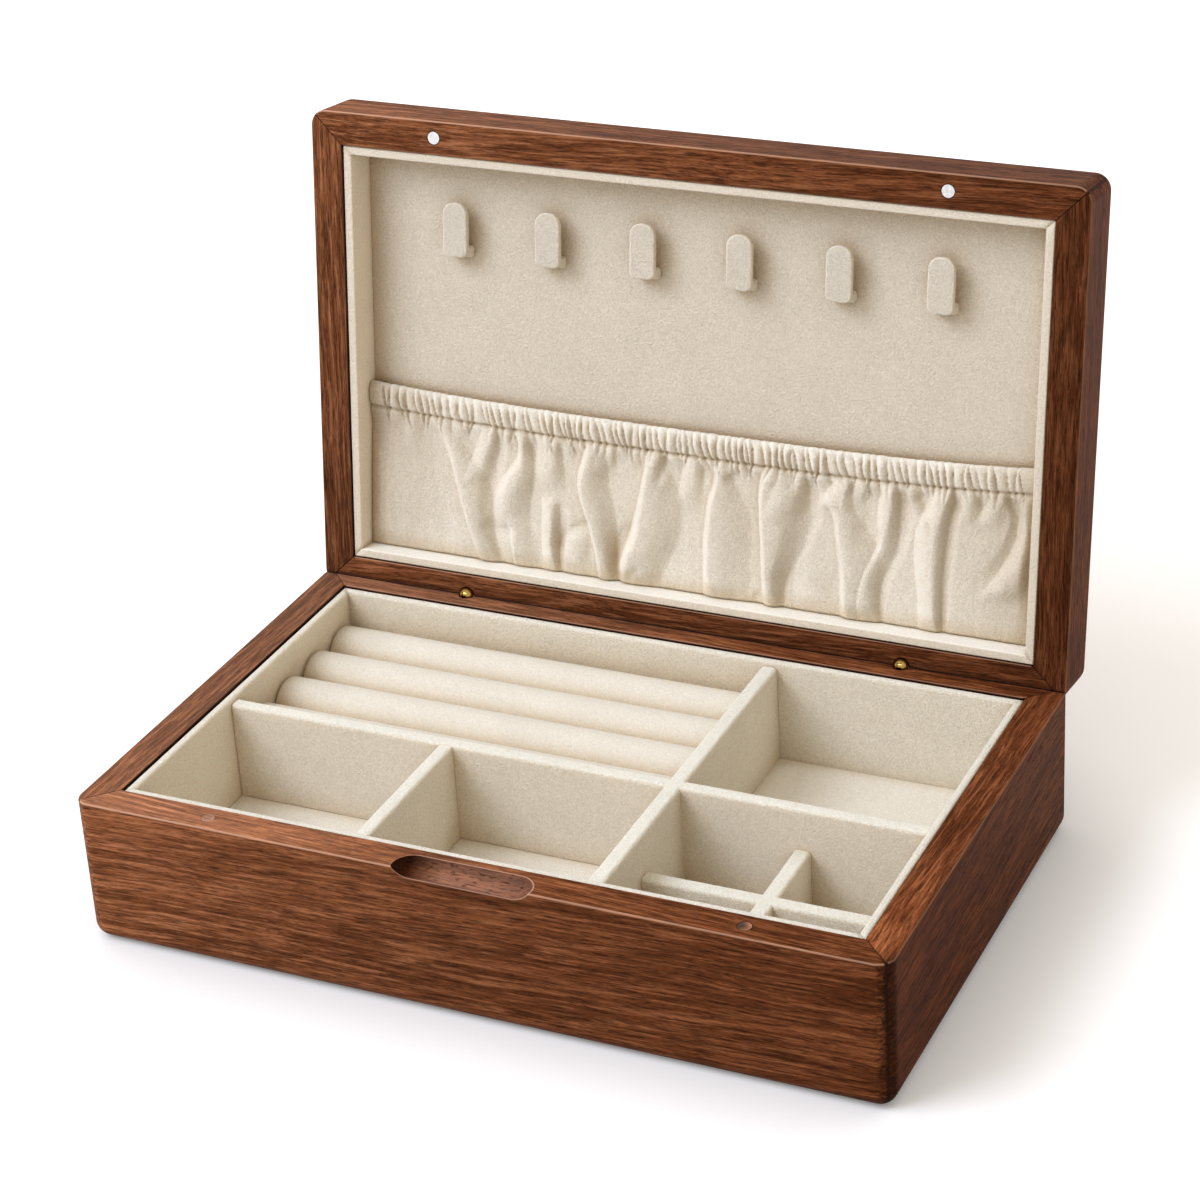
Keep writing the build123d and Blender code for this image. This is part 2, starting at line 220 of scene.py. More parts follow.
def walnut_grain(g, p, along, offset, tone):
    """The wood's colour along the rail, with its streaks, pores and fibres."""
    if along == "y":
        p = g.turn(p, "Z", -math.pi / 2)
    p = g.vector("ADD", p, (offset * 1.7, offset * 0.31, offset * 0.23))
    p = g.turn(p, "Y", math.radians(2.2))
    p = g.turn(p, "Z", math.radians(1.4))
    sway = g.noise(g.scaled(p, (9, 22, 22)), 1.0, 2.0)
    sway = g.times(g.minus(sway, 0.5), 0.006)
    p = g.vector("ADD", p, g.joined({"Y": sway, "Z": sway}))

    def drawn_out(lengthwise, across, detail, roughness):
        return g.noise(g.scaled(p, (lengthwise, across, across)), 1.0, detail, roughness)

    bands = drawn_out(4, 110, 3.0, 0.6)
    streaks = drawn_out(30, 700, 3.0, 0.68)
    lines = drawn_out(75, 1500, 2.0, 0.5)
    dashes = drawn_out(170, 2300, 2.0, 0.55)
    fibres = drawn_out(420, 5200, 1.0, 0.5)
    low, middle, high, dark = (tuple(c * tone for c in shade) + (1,) for shade in WALNUT_TONES)
    colour = g.mix(g.spread(bands, 0.32, 0.62), low, middle)
    colour = g.mix(g.spread(streaks, 0.48, 0.68, 0.0, 0.85), colour, high)
    colour = g.mix(g.spread(streaks, 0.47, 0.32, 0.0, 0.75), colour, low)
    colour = g.mix(g.spread(lines, 0.53, 0.62, 0.0, 0.62), colour, dark)
    pores = g.times(g.spread(dashes, 0.55, 0.65), g.spread(streaks, 0.62, 0.40, 0.30, 1.0))
    return g.mix(g.times(pores, 0.80), colour, dark), streaks, pores, fibres


def walnut_edges(g, colour, place, facing, slope, along, lid, mitred):
    """Painted highlights on the arrises and a painted sheen on the base's top faces, both stronger at the
    left; painted shade in crevices and in the thin gap beside the lining; dark mitre lines.
    """
    mitre = g.minus(g.absolute(place["X"]), g.absolute(place["Y"]))
    mitre = g.spread(g.absolute(g.minus(mitre, MITRE_LINE)), 0.0012, 0.0006, 0.0, float(mitred))
    not_rear_bevel = g.spread(facing["Y"], 0.70, 0.45, 0.12, 1.0)
    arris = g.times(g.spread(slope, 0.12, 0.45), g.spread(slope, 0.985, 0.88), g.minus(1.0, mitre),
                    not_rear_bevel)
    # painted highlight on the arrises, stronger at the left where the light comes from
    lit = g.spread(place["X"], -0.15, 0.15, 1.0, 0.60) if along == "x" else 0.30
    colour = g.mix(g.times(arris, lit, 0.74), colour, ARRIS_HIGHLIGHT)
    # painted shade in crevices, where other surfaces stand near
    clear = g.spread(g.openness(0.0035), 0.40, 0.80)
    colour = g.mix(g.plus(g.times(clear, 0.75), 0.25), CREVICE_SHADE, colour)
    # painted shade on the rails' inner faces in the gap beside the lining
    inward = g.plus(g.times(facing["X"], place["X"]), g.times(facing["Y"], place["Y"]))
    colour = g.mix(g.spread(inward, -0.04, -0.075, 0.0, 0.82 if along == "y" else 0.62), colour, LINING_GAP_SHADE)
    colour = g.mix(g.times(mitre, g.spread(slope, 0.97, 0.90, 0.0, 0.6)), colour, JOINT_LINE)
    if lid:
        return colour
    # painted sheen on the base's top faces, stronger at the left
    sheen_share = g.spread(place["X"], -0.15, 0.03, 0.15 if along == "x" else 0.09, 0.0)
    return g.mix(g.times(g.spread(facing["Z"], 0.6, 0.95), sheen_share), colour, TOP_SHEEN)


def scoop(g, colour, wood, p, place):
    """The finger scoop: paler pitted wood with painted shade at its ends and back edge, darkest at the left,
    and a painted highlight round its edge.
    """
    beyond = g.math("MAXIMUM", g.minus(g.absolute(place["X"]), SCOOP_HALF), 0.0)
    offset = g.joined({"X": beyond, "Y": g.minus(place["Y"], SCOOP_Y), "Z": g.minus(place["Z"], SCOOP_Z)})
    away = g.minus(g.size(offset), SCOOP_RADIUS)
    hollow, edge = g.spread(away, 0.00022, 0.00012), g.spread(away, 0.0007, 0.0004)
    # painted shade in the hollow: darkest at its left end, and darker at its right end and back edge
    deep = g.times(g.spread(place["X"], -0.0225, -0.0090, 0.10, 1.0),
                   g.spread(place["X"], 0.017, 0.027, 1.0, 0.72),
                   g.spread(place["Y"], -0.0912, -0.0960, 0.72, 1.02))
    pits = g.noise(g.scaled(p, (330, 1100, 1100)), 1.0, 2.0, 0.6)
    inside = g.mix(0.32, wood, SCOOP_WOOD)
    inside = g.mix(g.spread(pits, 0.57, 0.65, 0.0, 0.75), inside, SCOOP_PIT)
    inside = g.tinted(inside, deep, g.power(deep, 1.25), g.power(deep, 1.6))
    # painted highlight round the scoop's edge, stronger to the right
    shine = g.spread(place["X"], -0.0285, -0.0150, 0.10, 0.85)
    return g.mix(hollow, g.mix(g.times(edge, shine), colour, SCOOP_EDGE_HIGHLIGHT), inside)


def magnet_rings(g, colour, place, slope, lid):
    """A thin dark ring round each magnet, or round the plug that covers it."""
    side = g.minus(g.absolute(place["X"]), MAGNET_X)
    away = g.size(g.joined({"X": side, "Y": g.minus(place["Y"], MAGNET_Y)}))
    ring = g.times(g.spread(away, 0.0031, 0.0027), g.spread(slope, 0.8, 0.95))
    if not lid:
        ring = g.times(ring, g.spread(place["X"], -0.05, 0.05, 0.15, 0.8))
    return g.mix(g.times(ring, 0.8), colour, JOINT_LINE)


def walnut(name, along="x", lid=False, offset=0.0, tone=1.0, rim=(1.0, 1.0), front=False, plug=False,
           mitred=True):
    """Oiled walnut: broad bands, streaks, thin dark lines and pores that run along the rail."""
    g = new_graph(name)
    p, normal = g.place(), g.facing()
    if lid:
        p = g.turn(p, "X", OPEN_ANGLE, (0, AXIS_Y, AXIS_Z))
        normal = g.turn(normal, "X", OPEN_ANGLE)
    place, facing = g.parts(p), g.parts(normal)
    colour, streaks, pores, fibres = walnut_grain(g, p, along, offset, tone)
    fleck = g.times(g.spread(fibres, 0.3, 0.7, 0.76, 1.24), fade(g, p, lid, along, rim))
    richer = g.spread(place["X"], -0.10, 0.16, 1.0, 0.86)
    green = g.times(fleck, richer)
    colour = g.tinted(colour, fleck, green, g.times(green, richer))
    # painted light and shade on the faces that face right: the lid's side rails paler, the base's darker and
    # warmer towards the front
    if along == "y":
        if lid:
            sides = (1.62, 1.38, 1.00)
        else:
            sides = [g.spread(place["Y"], -0.03, 0.07, low, 1.0) for low in (0.80, 0.64, 0.43)]
        colour = g.mix(g.spread(facing["X"], 0.5, 0.9), colour, g.tinted(colour, *sides))
    wood, slope = colour, g.times(facing["Z"], -1.0 if lid else 1.0)
    colour = walnut_edges(g, colour, place, facing, slope, along, lid, mitred)
    if front and not lid:
        colour = scoop(g, colour, wood, p, place)
    if front:
        colour = magnet_rings(g, colour, place, slope, lid)
    if plug:
        # painted light and shade in the right plug's shallow dish: brighter where it faces left, darker where
        # it faces right
        dish_shading = g.spread(facing["X"], -0.16, 0.16, 1.9, 0.30)
        painted_dish_shading = g.between(g.spread(place["X"], -0.05, 0.05), 1.0, dish_shading)
        colour = g.tinted(colour, painted_dish_shading, painted_dish_shading, painted_dish_shading)
    rough = g.plus(g.spread(streaks, 0.3, 0.7, 0.42, 0.52), g.times(pores, 0.2))
    height = g.minus(g.times(fibres, 0.25), pores)
    return g.finish({
        "Base Color": colour, "Roughness": 0.3 if plug else rough, "IOR": 1.5,
        "Specular IOR Level": 0.5 if plug else 0.02, "Normal": g.bump(height, 0.4, 0.00014),
    })


# ---- lining, metal, felt and plywood
def microsuede(name, colour, reach=0.016, sheen=0.35, right=(1.17, 1.13, 1.05), left=(1.0, 1.0, 1.0),
               corner=(0.82, 0.715, 0.56), upper_light=(1.03, 1.07, 1.13), light_runs=(), hollow=(0.25, 0.85),
               edge=None, grain=1.0):
    """Cream microsuede: a fine short pile; painted light makes its upper faces paler and painted shade warms
    its corners.

    Its right, left and upper faces take tints of painted light, its corners painted shade and its edges a
    painted highlight.
    Each run along an axis gives the axis, two places on it and the tones there, painted light and shade along
    the piece. A smaller grain is a calmer pile."""
    g = new_graph(name)
    p = g.place()
    pile = g.noise(p, 2600, 2.0, 0.6)
    nap = g.noise(p, 1240, 2.0, 0.55, 0.9)
    patches = g.noise(p, 42, 3.0, 0.55)
    low = tuple(c * s for c, s in zip(colour, (0.905, 0.897, 0.883))) + (1,)
    high = tuple(min(c * s, 0.97) for c, s in zip(colour, (1.10, 1.11, 1.12))) + (1,)
    fleck = g.plus(g.times(nap, 0.58), g.times(pile, 0.42))
    tint = g.mix(g.spread(fleck, 0.5 - 0.086 / grain, 0.5 + 0.086 / grain), low, high)
    brushed = g.spread(patches, 0.3, 0.7, 0.975, 1.025)
    tint = g.tinted(tint, brushed, brushed, brushed)
    facing = g.parts(g.facing())
    # painted light: upper faces paler
    tint = g.mix(g.spread(facing["Z"], 0.45, 0.95), tint, g.tinted(tint, *upper_light))
    # painted light and shade along each axis given
    for axis, *run in light_runs:
        paler = g.spread(g.parts(p)[axis], *run)
        tint = g.tinted(tint, paler, g.power(paler, 1.2), g.power(paler, 1.5))
    # painted light and shade on faces that face right and on those that face left
    tint = g.mix(g.spread(facing["X"], 0.0, 0.8), tint, g.tinted(tint, *right))
    tint = g.mix(g.spread(facing["X"], 0.0, -0.6), tint, g.tinted(tint, *left))
    # painted highlight on the edges
    if edge:
        rim = g.spread(g.node("NewGeometry").outputs["Pointiness"], 0.51, 0.57)
        tint = g.mix(rim, tint, g.tinted(tint, *edge))
    # painted shade in the corners, where other surfaces stand near
    tint = g.mix(g.spread(g.openness(reach), *hollow), g.tinted(tint, *corner), tint)
    return g.finish({
        "Base Color": tint, "Roughness": 0.95, "Specular IOR Level": 0.15,
        "Sheen Weight": sheen, "Sheen Roughness": 0.40, "Sheen Tint": (1.0, 0.98, 0.94, 1),
        "Normal": g.bump(fleck, 0.9, 0.0017 * grain),
    })


def metal(name, colour, rough, scratches=0.08):
    """Turned metal with faint tool marks and a little tarnish."""
    g = new_graph(name)
    p = g.place()
    marks = g.noise(g.scaled(p, (900, 5200, 5200)), 1.0, 2.0)
    tarnish = g.noise(p, 700, 3.0, 0.6)
    dark = tuple(c * 0.72 for c in colour) + (1,)
    return g.finish({
        "Base Color": g.mix(g.spread(tarnish, 0.35, 0.65), dark, tuple(colour) + (1,)), "Metallic": 1.0,
        "Roughness": g.spread(marks, 0.3, 0.7, rough - scratches / 2, rough + scratches),
        "Normal": g.bump(marks, 0.12, 0.00005),
    })


def wool_felt():
    """Dark brown felt under the box."""
    g = new_graph("underside_felt_wool")
    p = g.place()
    hair = g.noise(p, 1400, 4.0, 0.7, 1.5)
    cloud = g.noise(p, 60, 2.0)
    tint = g.mix(g.spread(hair, 0.3, 0.7), (0.022, 0.013, 0.009, 1), (0.075, 0.046, 0.031, 1))
    tint = g.mix(g.spread(cloud, 0.3, 0.7, 0.0, 0.3), tint, (0.05, 0.033, 0.024, 1))
    return g.finish({
        "Base Color": tint, "Roughness": 1.0, "Specular IOR Level": 0.1, "Sheen Weight": 0.3,
        "Normal": g.bump(hair, 0.8, 0.0004),
    })


def birch_plywood():
    """Plywood bottom: pale plies that show only at its edges."""
    g = new_graph("birch_plywood")
    p = g.place()
    plies = g.math("SINE", g.times(g.parts(p)["Z"], math.pi / (1.5 * MM)))
    grain = g.noise(g.scaled(p, (30, 700, 700)), 1.0, 4.0, 0.6)
    tint = g.mix(g.spread(grain, 0.3, 0.7), (0.44, 0.30, 0.17, 1), (0.62, 0.46, 0.29, 1))
    tint = g.mix(g.spread(plies, 0.2, 0.5, 0.0, 0.5), tint, (0.30, 0.18, 0.09, 1))
    return g.finish({"Base Color": tint, "Roughness": 0.6, "Normal": g.bump(grain, 0.3, 0.0002)})


# ---- CAD nodes that are shown as they are
def dress(names, material):
    for name in names:
        slots = NODES[name].data.materials
        slots.clear()
        slots.append(material)


def dress_wood():
    for body, lid in (("base", False), ("lid", True)):
        for index, (side, along) in enumerate((("front", "x"), ("rear", "x"), ("left", "y"), ("right", "y"))):
            rail, offset = f"{body}_{side}", 1.0 + index * 0.37 + lid * 2.1
            dress([f"{rail}_rail"], walnut(f"walnut_{rail}", along, lid, offset, rim=RAIL_LIGHT_RUNS[rail],
                                           front=side == "front"))
    dress(["lid_top_panel"], walnut("walnut_lid_veneer", lid=True, offset=5.3, tone=1.05, mitred=False))
    dress(["base_magnet_plugs"], walnut("walnut_plugs", offset=1.0, rim=RAIL_LIGHT_RUNS["base_front"], plug=True))
    dress(["base_bottom_panel"], birch_plywood())
    dress(["underside_felt"], wool_felt())


def dress_lining():
    # painted light on the tray floor's upper faces; on the lid panel, painted shade in its corners and a
    # painted shadow at its left end
    dress(["tray_floor"], microsuede("floor_microsuede", (0.85, 0.79, 0.69), reach=0.008,
                                     upper_light=(1.05, 1.08, 1.11), grain=0.6))
    dress(["lid_liner_panel"], microsuede("panel_microsuede", (0.815, 0.745, 0.632), reach=0.012,
                                          corner=(0.70, 0.56, 0.38), hollow=(0.38, 0.90),
                                          light_runs=(("X", -0.143, -0.120, 0.90, 1.0),)))


def dress_metal():
    dress([n for n in NODES if "hinge" in n], metal("aged_brass", (0.51, 0.32, 0.09), 0.19))
    dress(["lid_magnets", "base_magnets"], metal("nickel_plate", (0.66, 0.66, 0.65), 0.35, 0.05))


# ---- soft pieces
def show(name, data):
    """A new object of the scene."""
    made = bpy.data.objects.new(name, data)
    bpy.context.scene.collection.objects.link(made)
    return made


def add_mesh(name, points, faces, material):
    """A smooth-shaded mesh object from points in metres, its faces turned outwards."""
    mesh = bpy.data.meshes.new(name)
    mesh.from_pydata([tuple(p) for p in points], [], faces)
    mesh.polygons.foreach_set("use_smooth", [True] * len(mesh.polygons))
    mesh.materials.append(material)
    work = bmesh.new()
    work.from_mesh(mesh)
    bmesh.ops.recalc_face_normals(work, faces=work.faces[:])
    work.to_mesh(mesh)
    work.free()
    return show(name, mesh)


def rounded_plate(half, low, high, low_round, high_round, steps=8):
    """Closed outline (across, up), anticlockwise: a plate with its own rounding below and above."""
    points = []
    for x, y, radius, start in ((half - low_round, low + low_round, low_round, -90),
                                (half - high_round, high - high_round, high_round, 0),
                                (-half + high_round, high - high_round, high_round, 90),
                                (-half + low_round, low + low_round, low_round, 180)):
        for step in range(steps + 1):
            angle = math.radians(start + 90 * step / steps)
            points.append((x + radius * math.cos(angle), y + radius * math.sin(angle)))
    return points


def rounded_outline(width, bottom, top, top_round, foot_round=0.5, steps=8, longest=2.5):
    """A bar's outline: a rounded plate with further points on its long straight runs."""
    points, made = rounded_plate(width / 2, bottom, top, foot_round, top_round, steps), []
    for a, b in zip(points, points[1:] + points[:1]):
        count = max(1, math.ceil(math.dist(a, b) / longest))
        made += [(a[0] + (b[0] - a[0]) * i / count, a[1] + (b[1] - a[1]) * i / count) for i in range(count)]
    return made


def outward(shape):
    """Unit normals of a closed outline at its points."""
    ahead = np.roll(shape, -1, 0) - np.roll(shape, 1, 0)
    return np.stack([ahead[:, 1], -ahead[:, 0]], 1) / np.linalg.norm(ahead, axis=1)[:, None]


def tube(count, rings):
    """Faces that join each ring of count points to the next."""
    faces = []
    for ring in range(rings - 1):
        for i in range(count):
            a, b = ring * count + i, ring * count + (i + 1) % count
            faces.append((a, a + count, b + count, b))
    return faces


def sweep(name, outline, along, centre, low, high, end_round, wobble, material, step, seed):
    """A padded bar: the outline run along X or Y, with rounded ends and a slightly uneven surface."""
    shape = np.array(outline)
    normal = outward(shape)
    arc = [math.radians(a) for a in range(0, 91, 15)]
    starts = [(low + end_round * (1 - math.cos(a)), end_round * (1 - math.sin(a))) for a in arc]
    ends = [(high - (at - low), inset) for at, inset in reversed(starts)]
    inner = np.arange(low + end_round + step, high - end_round - step / 2, step)
    stations = starts + [(at, 0.0) for at in inner] + ends
    points, count = [], len(shape)
    for at, inset in stations:
        for (u, v), (nu, nv) in zip(shape - normal * inset, normal):
            push = wobble * noise.noise(Vector((at * 0.045 + seed, u * 0.09 + seed, v * 0.09)))
            push += wobble * 0.35 * noise.noise(Vector((at * 0.21 + seed, u * 0.3, v * 0.3)))
            u, v = u + nu * push + centre, v + nv * push
            points.append((at, u, v) if along == "x" else (-u + 2 * centre, at, v))
    faces = tube(count, len(stations))
    if along == "y":
        faces = [side[1:] + side[:1] for side in faces]
    last = (len(stations) - 1) * count
    faces += [tuple(range(count)), tuple(reversed(range(last, last + count)))]
    return add_mesh(name, np.array(points) * MM, faces, material)


FLOOR_Z, TRAY_TOP = 16.5, 59.4
ROLL_ROUND, ROLL_PITCH, ROLL_BACK, ROLL_TOP = 11.28, 22.575, 71.51, 48.4
ROLL_LOW, ROLL_HIGH = -142.4, 40.35


def make_rolls():
    """Ring rolls: foam under suede, a half round over straight flanks."""
    # painted shadow at the rolls' left ends, beside the tray's left wall
    suede = microsuede("roll_microsuede", (0.80, 0.742, 0.635), light_runs=(("X", -0.1424, -0.112, 0.82, 1.0),),
                       grain=0.6)
    outline = rounded_outline(2 * ROLL_ROUND, FLOOR_Z + 0.1, ROLL_TOP, ROLL_ROUND, 1.5, 40)
    for index in range(4):
        piece = sweep(f"ring_roll_pad_{index + 1}", outline, "x", ROLL_BACK - ROLL_PITCH * index, ROLL_LOW,
                      ROLL_HIGH, 2.4, 0.02, suede, 3.0, index * 7.3)
        piece.data.shade_flat()
        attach(piece, "base")
        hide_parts(f"ring_roll_{index + 1}")


DIVIDER_TOP, LOW_TOP, DROP, DIVIDER_ROUND = 57.5, 41.0, 0.03, 1.6
# direction, centre across, from, to, thickness and top; tops that cross are DROP apart
DIVIDERS = {
    "long_divider": ("x", -10.5, -142.7, 142.7, 6.0, DIVIDER_TOP),
    "cross_divider": ("y", 44.0, -82.7, 82.7, 6.5, DIVIDER_TOP - DROP),
    "front_left_divider": ("y", -49.0, -82.7, -13.4, 6.0, DIVIDER_TOP - DROP),
    "low_long_bar": ("x", -48.15, 47.3, 142.7, 6.5, LOW_TOP),
    "low_cross_bar": ("y", 95.025, -82.7, -13.6, 6.5, LOW_TOP - DROP),
}


def make_dividers():
    """Covered dividers with soft top edges, each run through its crossings so that they merge."""
    # painted light on the faces that face right and on the tops; painted shade in the corners
    suede = microsuede("divider_microsuede", (0.885, 0.815, 0.69), right=(1.12, 1.12, 1.09),
                       upper_light=(1.09, 1.18, 1.28))
    for index, (node, (along, centre, low, high, width, top)) in enumerate(DIVIDERS.items()):
        outline = rounded_outline(width, FLOOR_Z + 0.05, top, DIVIDER_ROUND)
        piece = sweep(node + "_board", outline, along, centre, low, high, 0.5, 0.10, suede, 2.5,
                      31.0 + index * 3.7)
        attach(piece, "base")
        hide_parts(node)


# ---- linings round the tray and the lid
LINING_X, LINING_Y, LINING_THICK = 146.36, 86.36, 3.5


def in_base(x, y, height):
    return np.stack([x, y, height], -1) * MM


def in_lid(x, y, height):
    return lid_point(x, AXIS_Y / MM - y, -height)


def mitred_lining(name, side, outline, place, material, seed):
    """One covered board of four round a rectangle, mitred at both ends; outline gives (inwards, height)."""
    along_x = side in ("front", "rear")
    sign = -1 if side in ("front", "left") else 1
    reach, across = (LINING_X, LINING_Y) if along_x else (LINING_Y, LINING_X)
    shape = np.array(outline)
    normal = outward(shape)
    points, stations, count = [], round(2 * reach / 3), len(shape)
    for station in range(stations + 1):
        share = station / stations * 2 - 1
        for (inward, height), (n_in, n_up) in zip(shape, normal):
            at = share * (reach - inward)
            uneven = noise.noise(Vector((at * 0.06 + seed, inward * 0.1, height * 0.1)))
            push = 0.05 * uneven * (1 - share ** 8)
            inward, height = inward + n_in * push, height + n_up * push
            beside = sign * (across - inward)
            points.append((at, beside, height) if along_x else (beside, at, height))
    ends = [tuple(range(count)), tuple(range(stations * count, (stations + 1) * count))]
    return add_mesh(name, place(*np.array(points).T), ends + tube(count, stations + 1), material)


def make_linings():
    """Soft-edged covered boards: the tray's four walls and the four strips round the lid."""
    # painted shade in the tray's corners; painted light on the strips' upper faces
    tray = microsuede("wall_microsuede", (0.895, 0.838, 0.722), corner=(0.86, 0.78, 0.66))
    strip = microsuede("strip_microsuede", (0.80, 0.73, 0.62), reach=0.003, upper_light=(1.24, 1.34, 1.48),
                       grain=0.6)
    tray_outline = rounded_outline(LINING_THICK, FLOOR_Z - 0.2, TRAY_TOP, 1.4, 0.1)
    strip_outline = rounded_outline(LINING_THICK, -21.0, -0.8, 0.6, 0.3)
    for index, side in enumerate(("front", "rear", "left", "right")):
        for name, node, outline, place, suede, body in (
                (f"tray_{side}_lining", f"tray_{side}_wall", tray_outline, in_base, tray, "base"),
                (f"lid_{side}_lining", f"lid_{side}_strip", strip_outline, in_lid, strip, "lid")):
            shape = [(LINING_THICK / 2 - across, height) for across, height in outline]
            piece = mitred_lining(name, side, shape, place, suede, 11.0 + index * 5.3)
            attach(piece, body)
            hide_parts(node)


# ---- necklace hooks
HOOK_X, HOOK_LOW, HOOK_HIGH = [-101.25 + 40.5 * i for i in range(6)], 139.1, 160.9
FOOT_DEEP, FOOT_DROOP = 9.5, 0.25        # n from which the foot droops, and its slope
SKIN_VOXEL = 0.00042


def prism(outline, front, back):
    """Points (x, up, n) and faces of an outline run from front to back."""
    count = len(outline)
    points = [(x, up, front) for x, up in outline] + [(x, up, back) for x, up in outline]
    ends = [tuple(range(count)), tuple(range(2 * count - 1, count - 1, -1))]
    return points, ends + tube(count, 2)


def make_hooks():
    """Necklace hooks: a round-ended plate and its foot, padded and covered in one skin."""
    # painted light on the faces that face left and upward, and a painted highlight on the edges
    suede = microsuede("hook_microsuede", (0.785, 0.73, 0.63), reach=0.003, left=(1.16, 1.16, 1.16),
                       upper_light=(1.2, 1.22, 1.26), edge=(1.20, 1.21, 1.22))
    plate = prism(rounded_plate(5.25, HOOK_LOW - 0.1, HOOK_HIGH + 0.1, 3.0, 4.8), 8.15, 11.1)
    foot = prism(rounded_plate(4.95, HOOK_LOW, HOOK_LOW + 4.2, 1.4, 1.2), FOOT_DEEP, 15.9)
    flare = prism(rounded_plate(5.2, HOOK_LOW - 0.1, HOOK_LOW + 5.0, 1.8, 1.4), 14.9, 15.9)
    points, faces = [], []
    for more, sides in (plate, foot, flare):
        faces += [tuple(i + len(points) for i in side) for side in sides]
        points += more
    across, up, deep = np.array(points).T
    up = up - FOOT_DROOP * np.clip(deep - FOOT_DEEP, 0, None)
    for index, x in enumerate(HOOK_X):
        rough = add_mesh(f"hook_blank_{index + 1}", lid_point(across + x, up, deep), faces, suede)
        remesh = rough.modifiers.new("skin", "REMESH")
        remesh.mode, remesh.voxel_size, remesh.use_smooth_shade = "VOXEL", SKIN_VOXEL, True
        soften = rough.modifiers.new("soften", "SMOOTH")
        soften.factor, soften.iterations = 0.5, 7
        graph = bpy.context.evaluated_depsgraph_get()
        mesh = bpy.data.meshes.new_from_object(rough.evaluated_get(graph))
        bpy.data.objects.remove(rough)
        mesh.name = f"covered_hook_{index + 1}"
        piece = show(mesh.name, mesh)
        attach(piece, "lid")
        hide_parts(f"necklace_hook_{index + 1}")


# ---- gathered pocket
# Lid place in millimetres: x, up from the hinge axis and n, how deep behind the mating face.
POCKET_X, POCKET_FOOT, STITCH_UP, BAND_HIGH = 142.3, 12.6, 69.8, 10.3
POCKET_FRONT = 9.6                        # n of the cloth where it has no fold
CLOTH_THICK, BAND_THICK = 0.9, 1.9
X_STEP, UP_STEP, BAND_STEP, TOP_ROUND = 0.4, 0.8, 0.45, 1.3
FOLD_GAIN, DRAWN_BACK = 1.45, 3.2

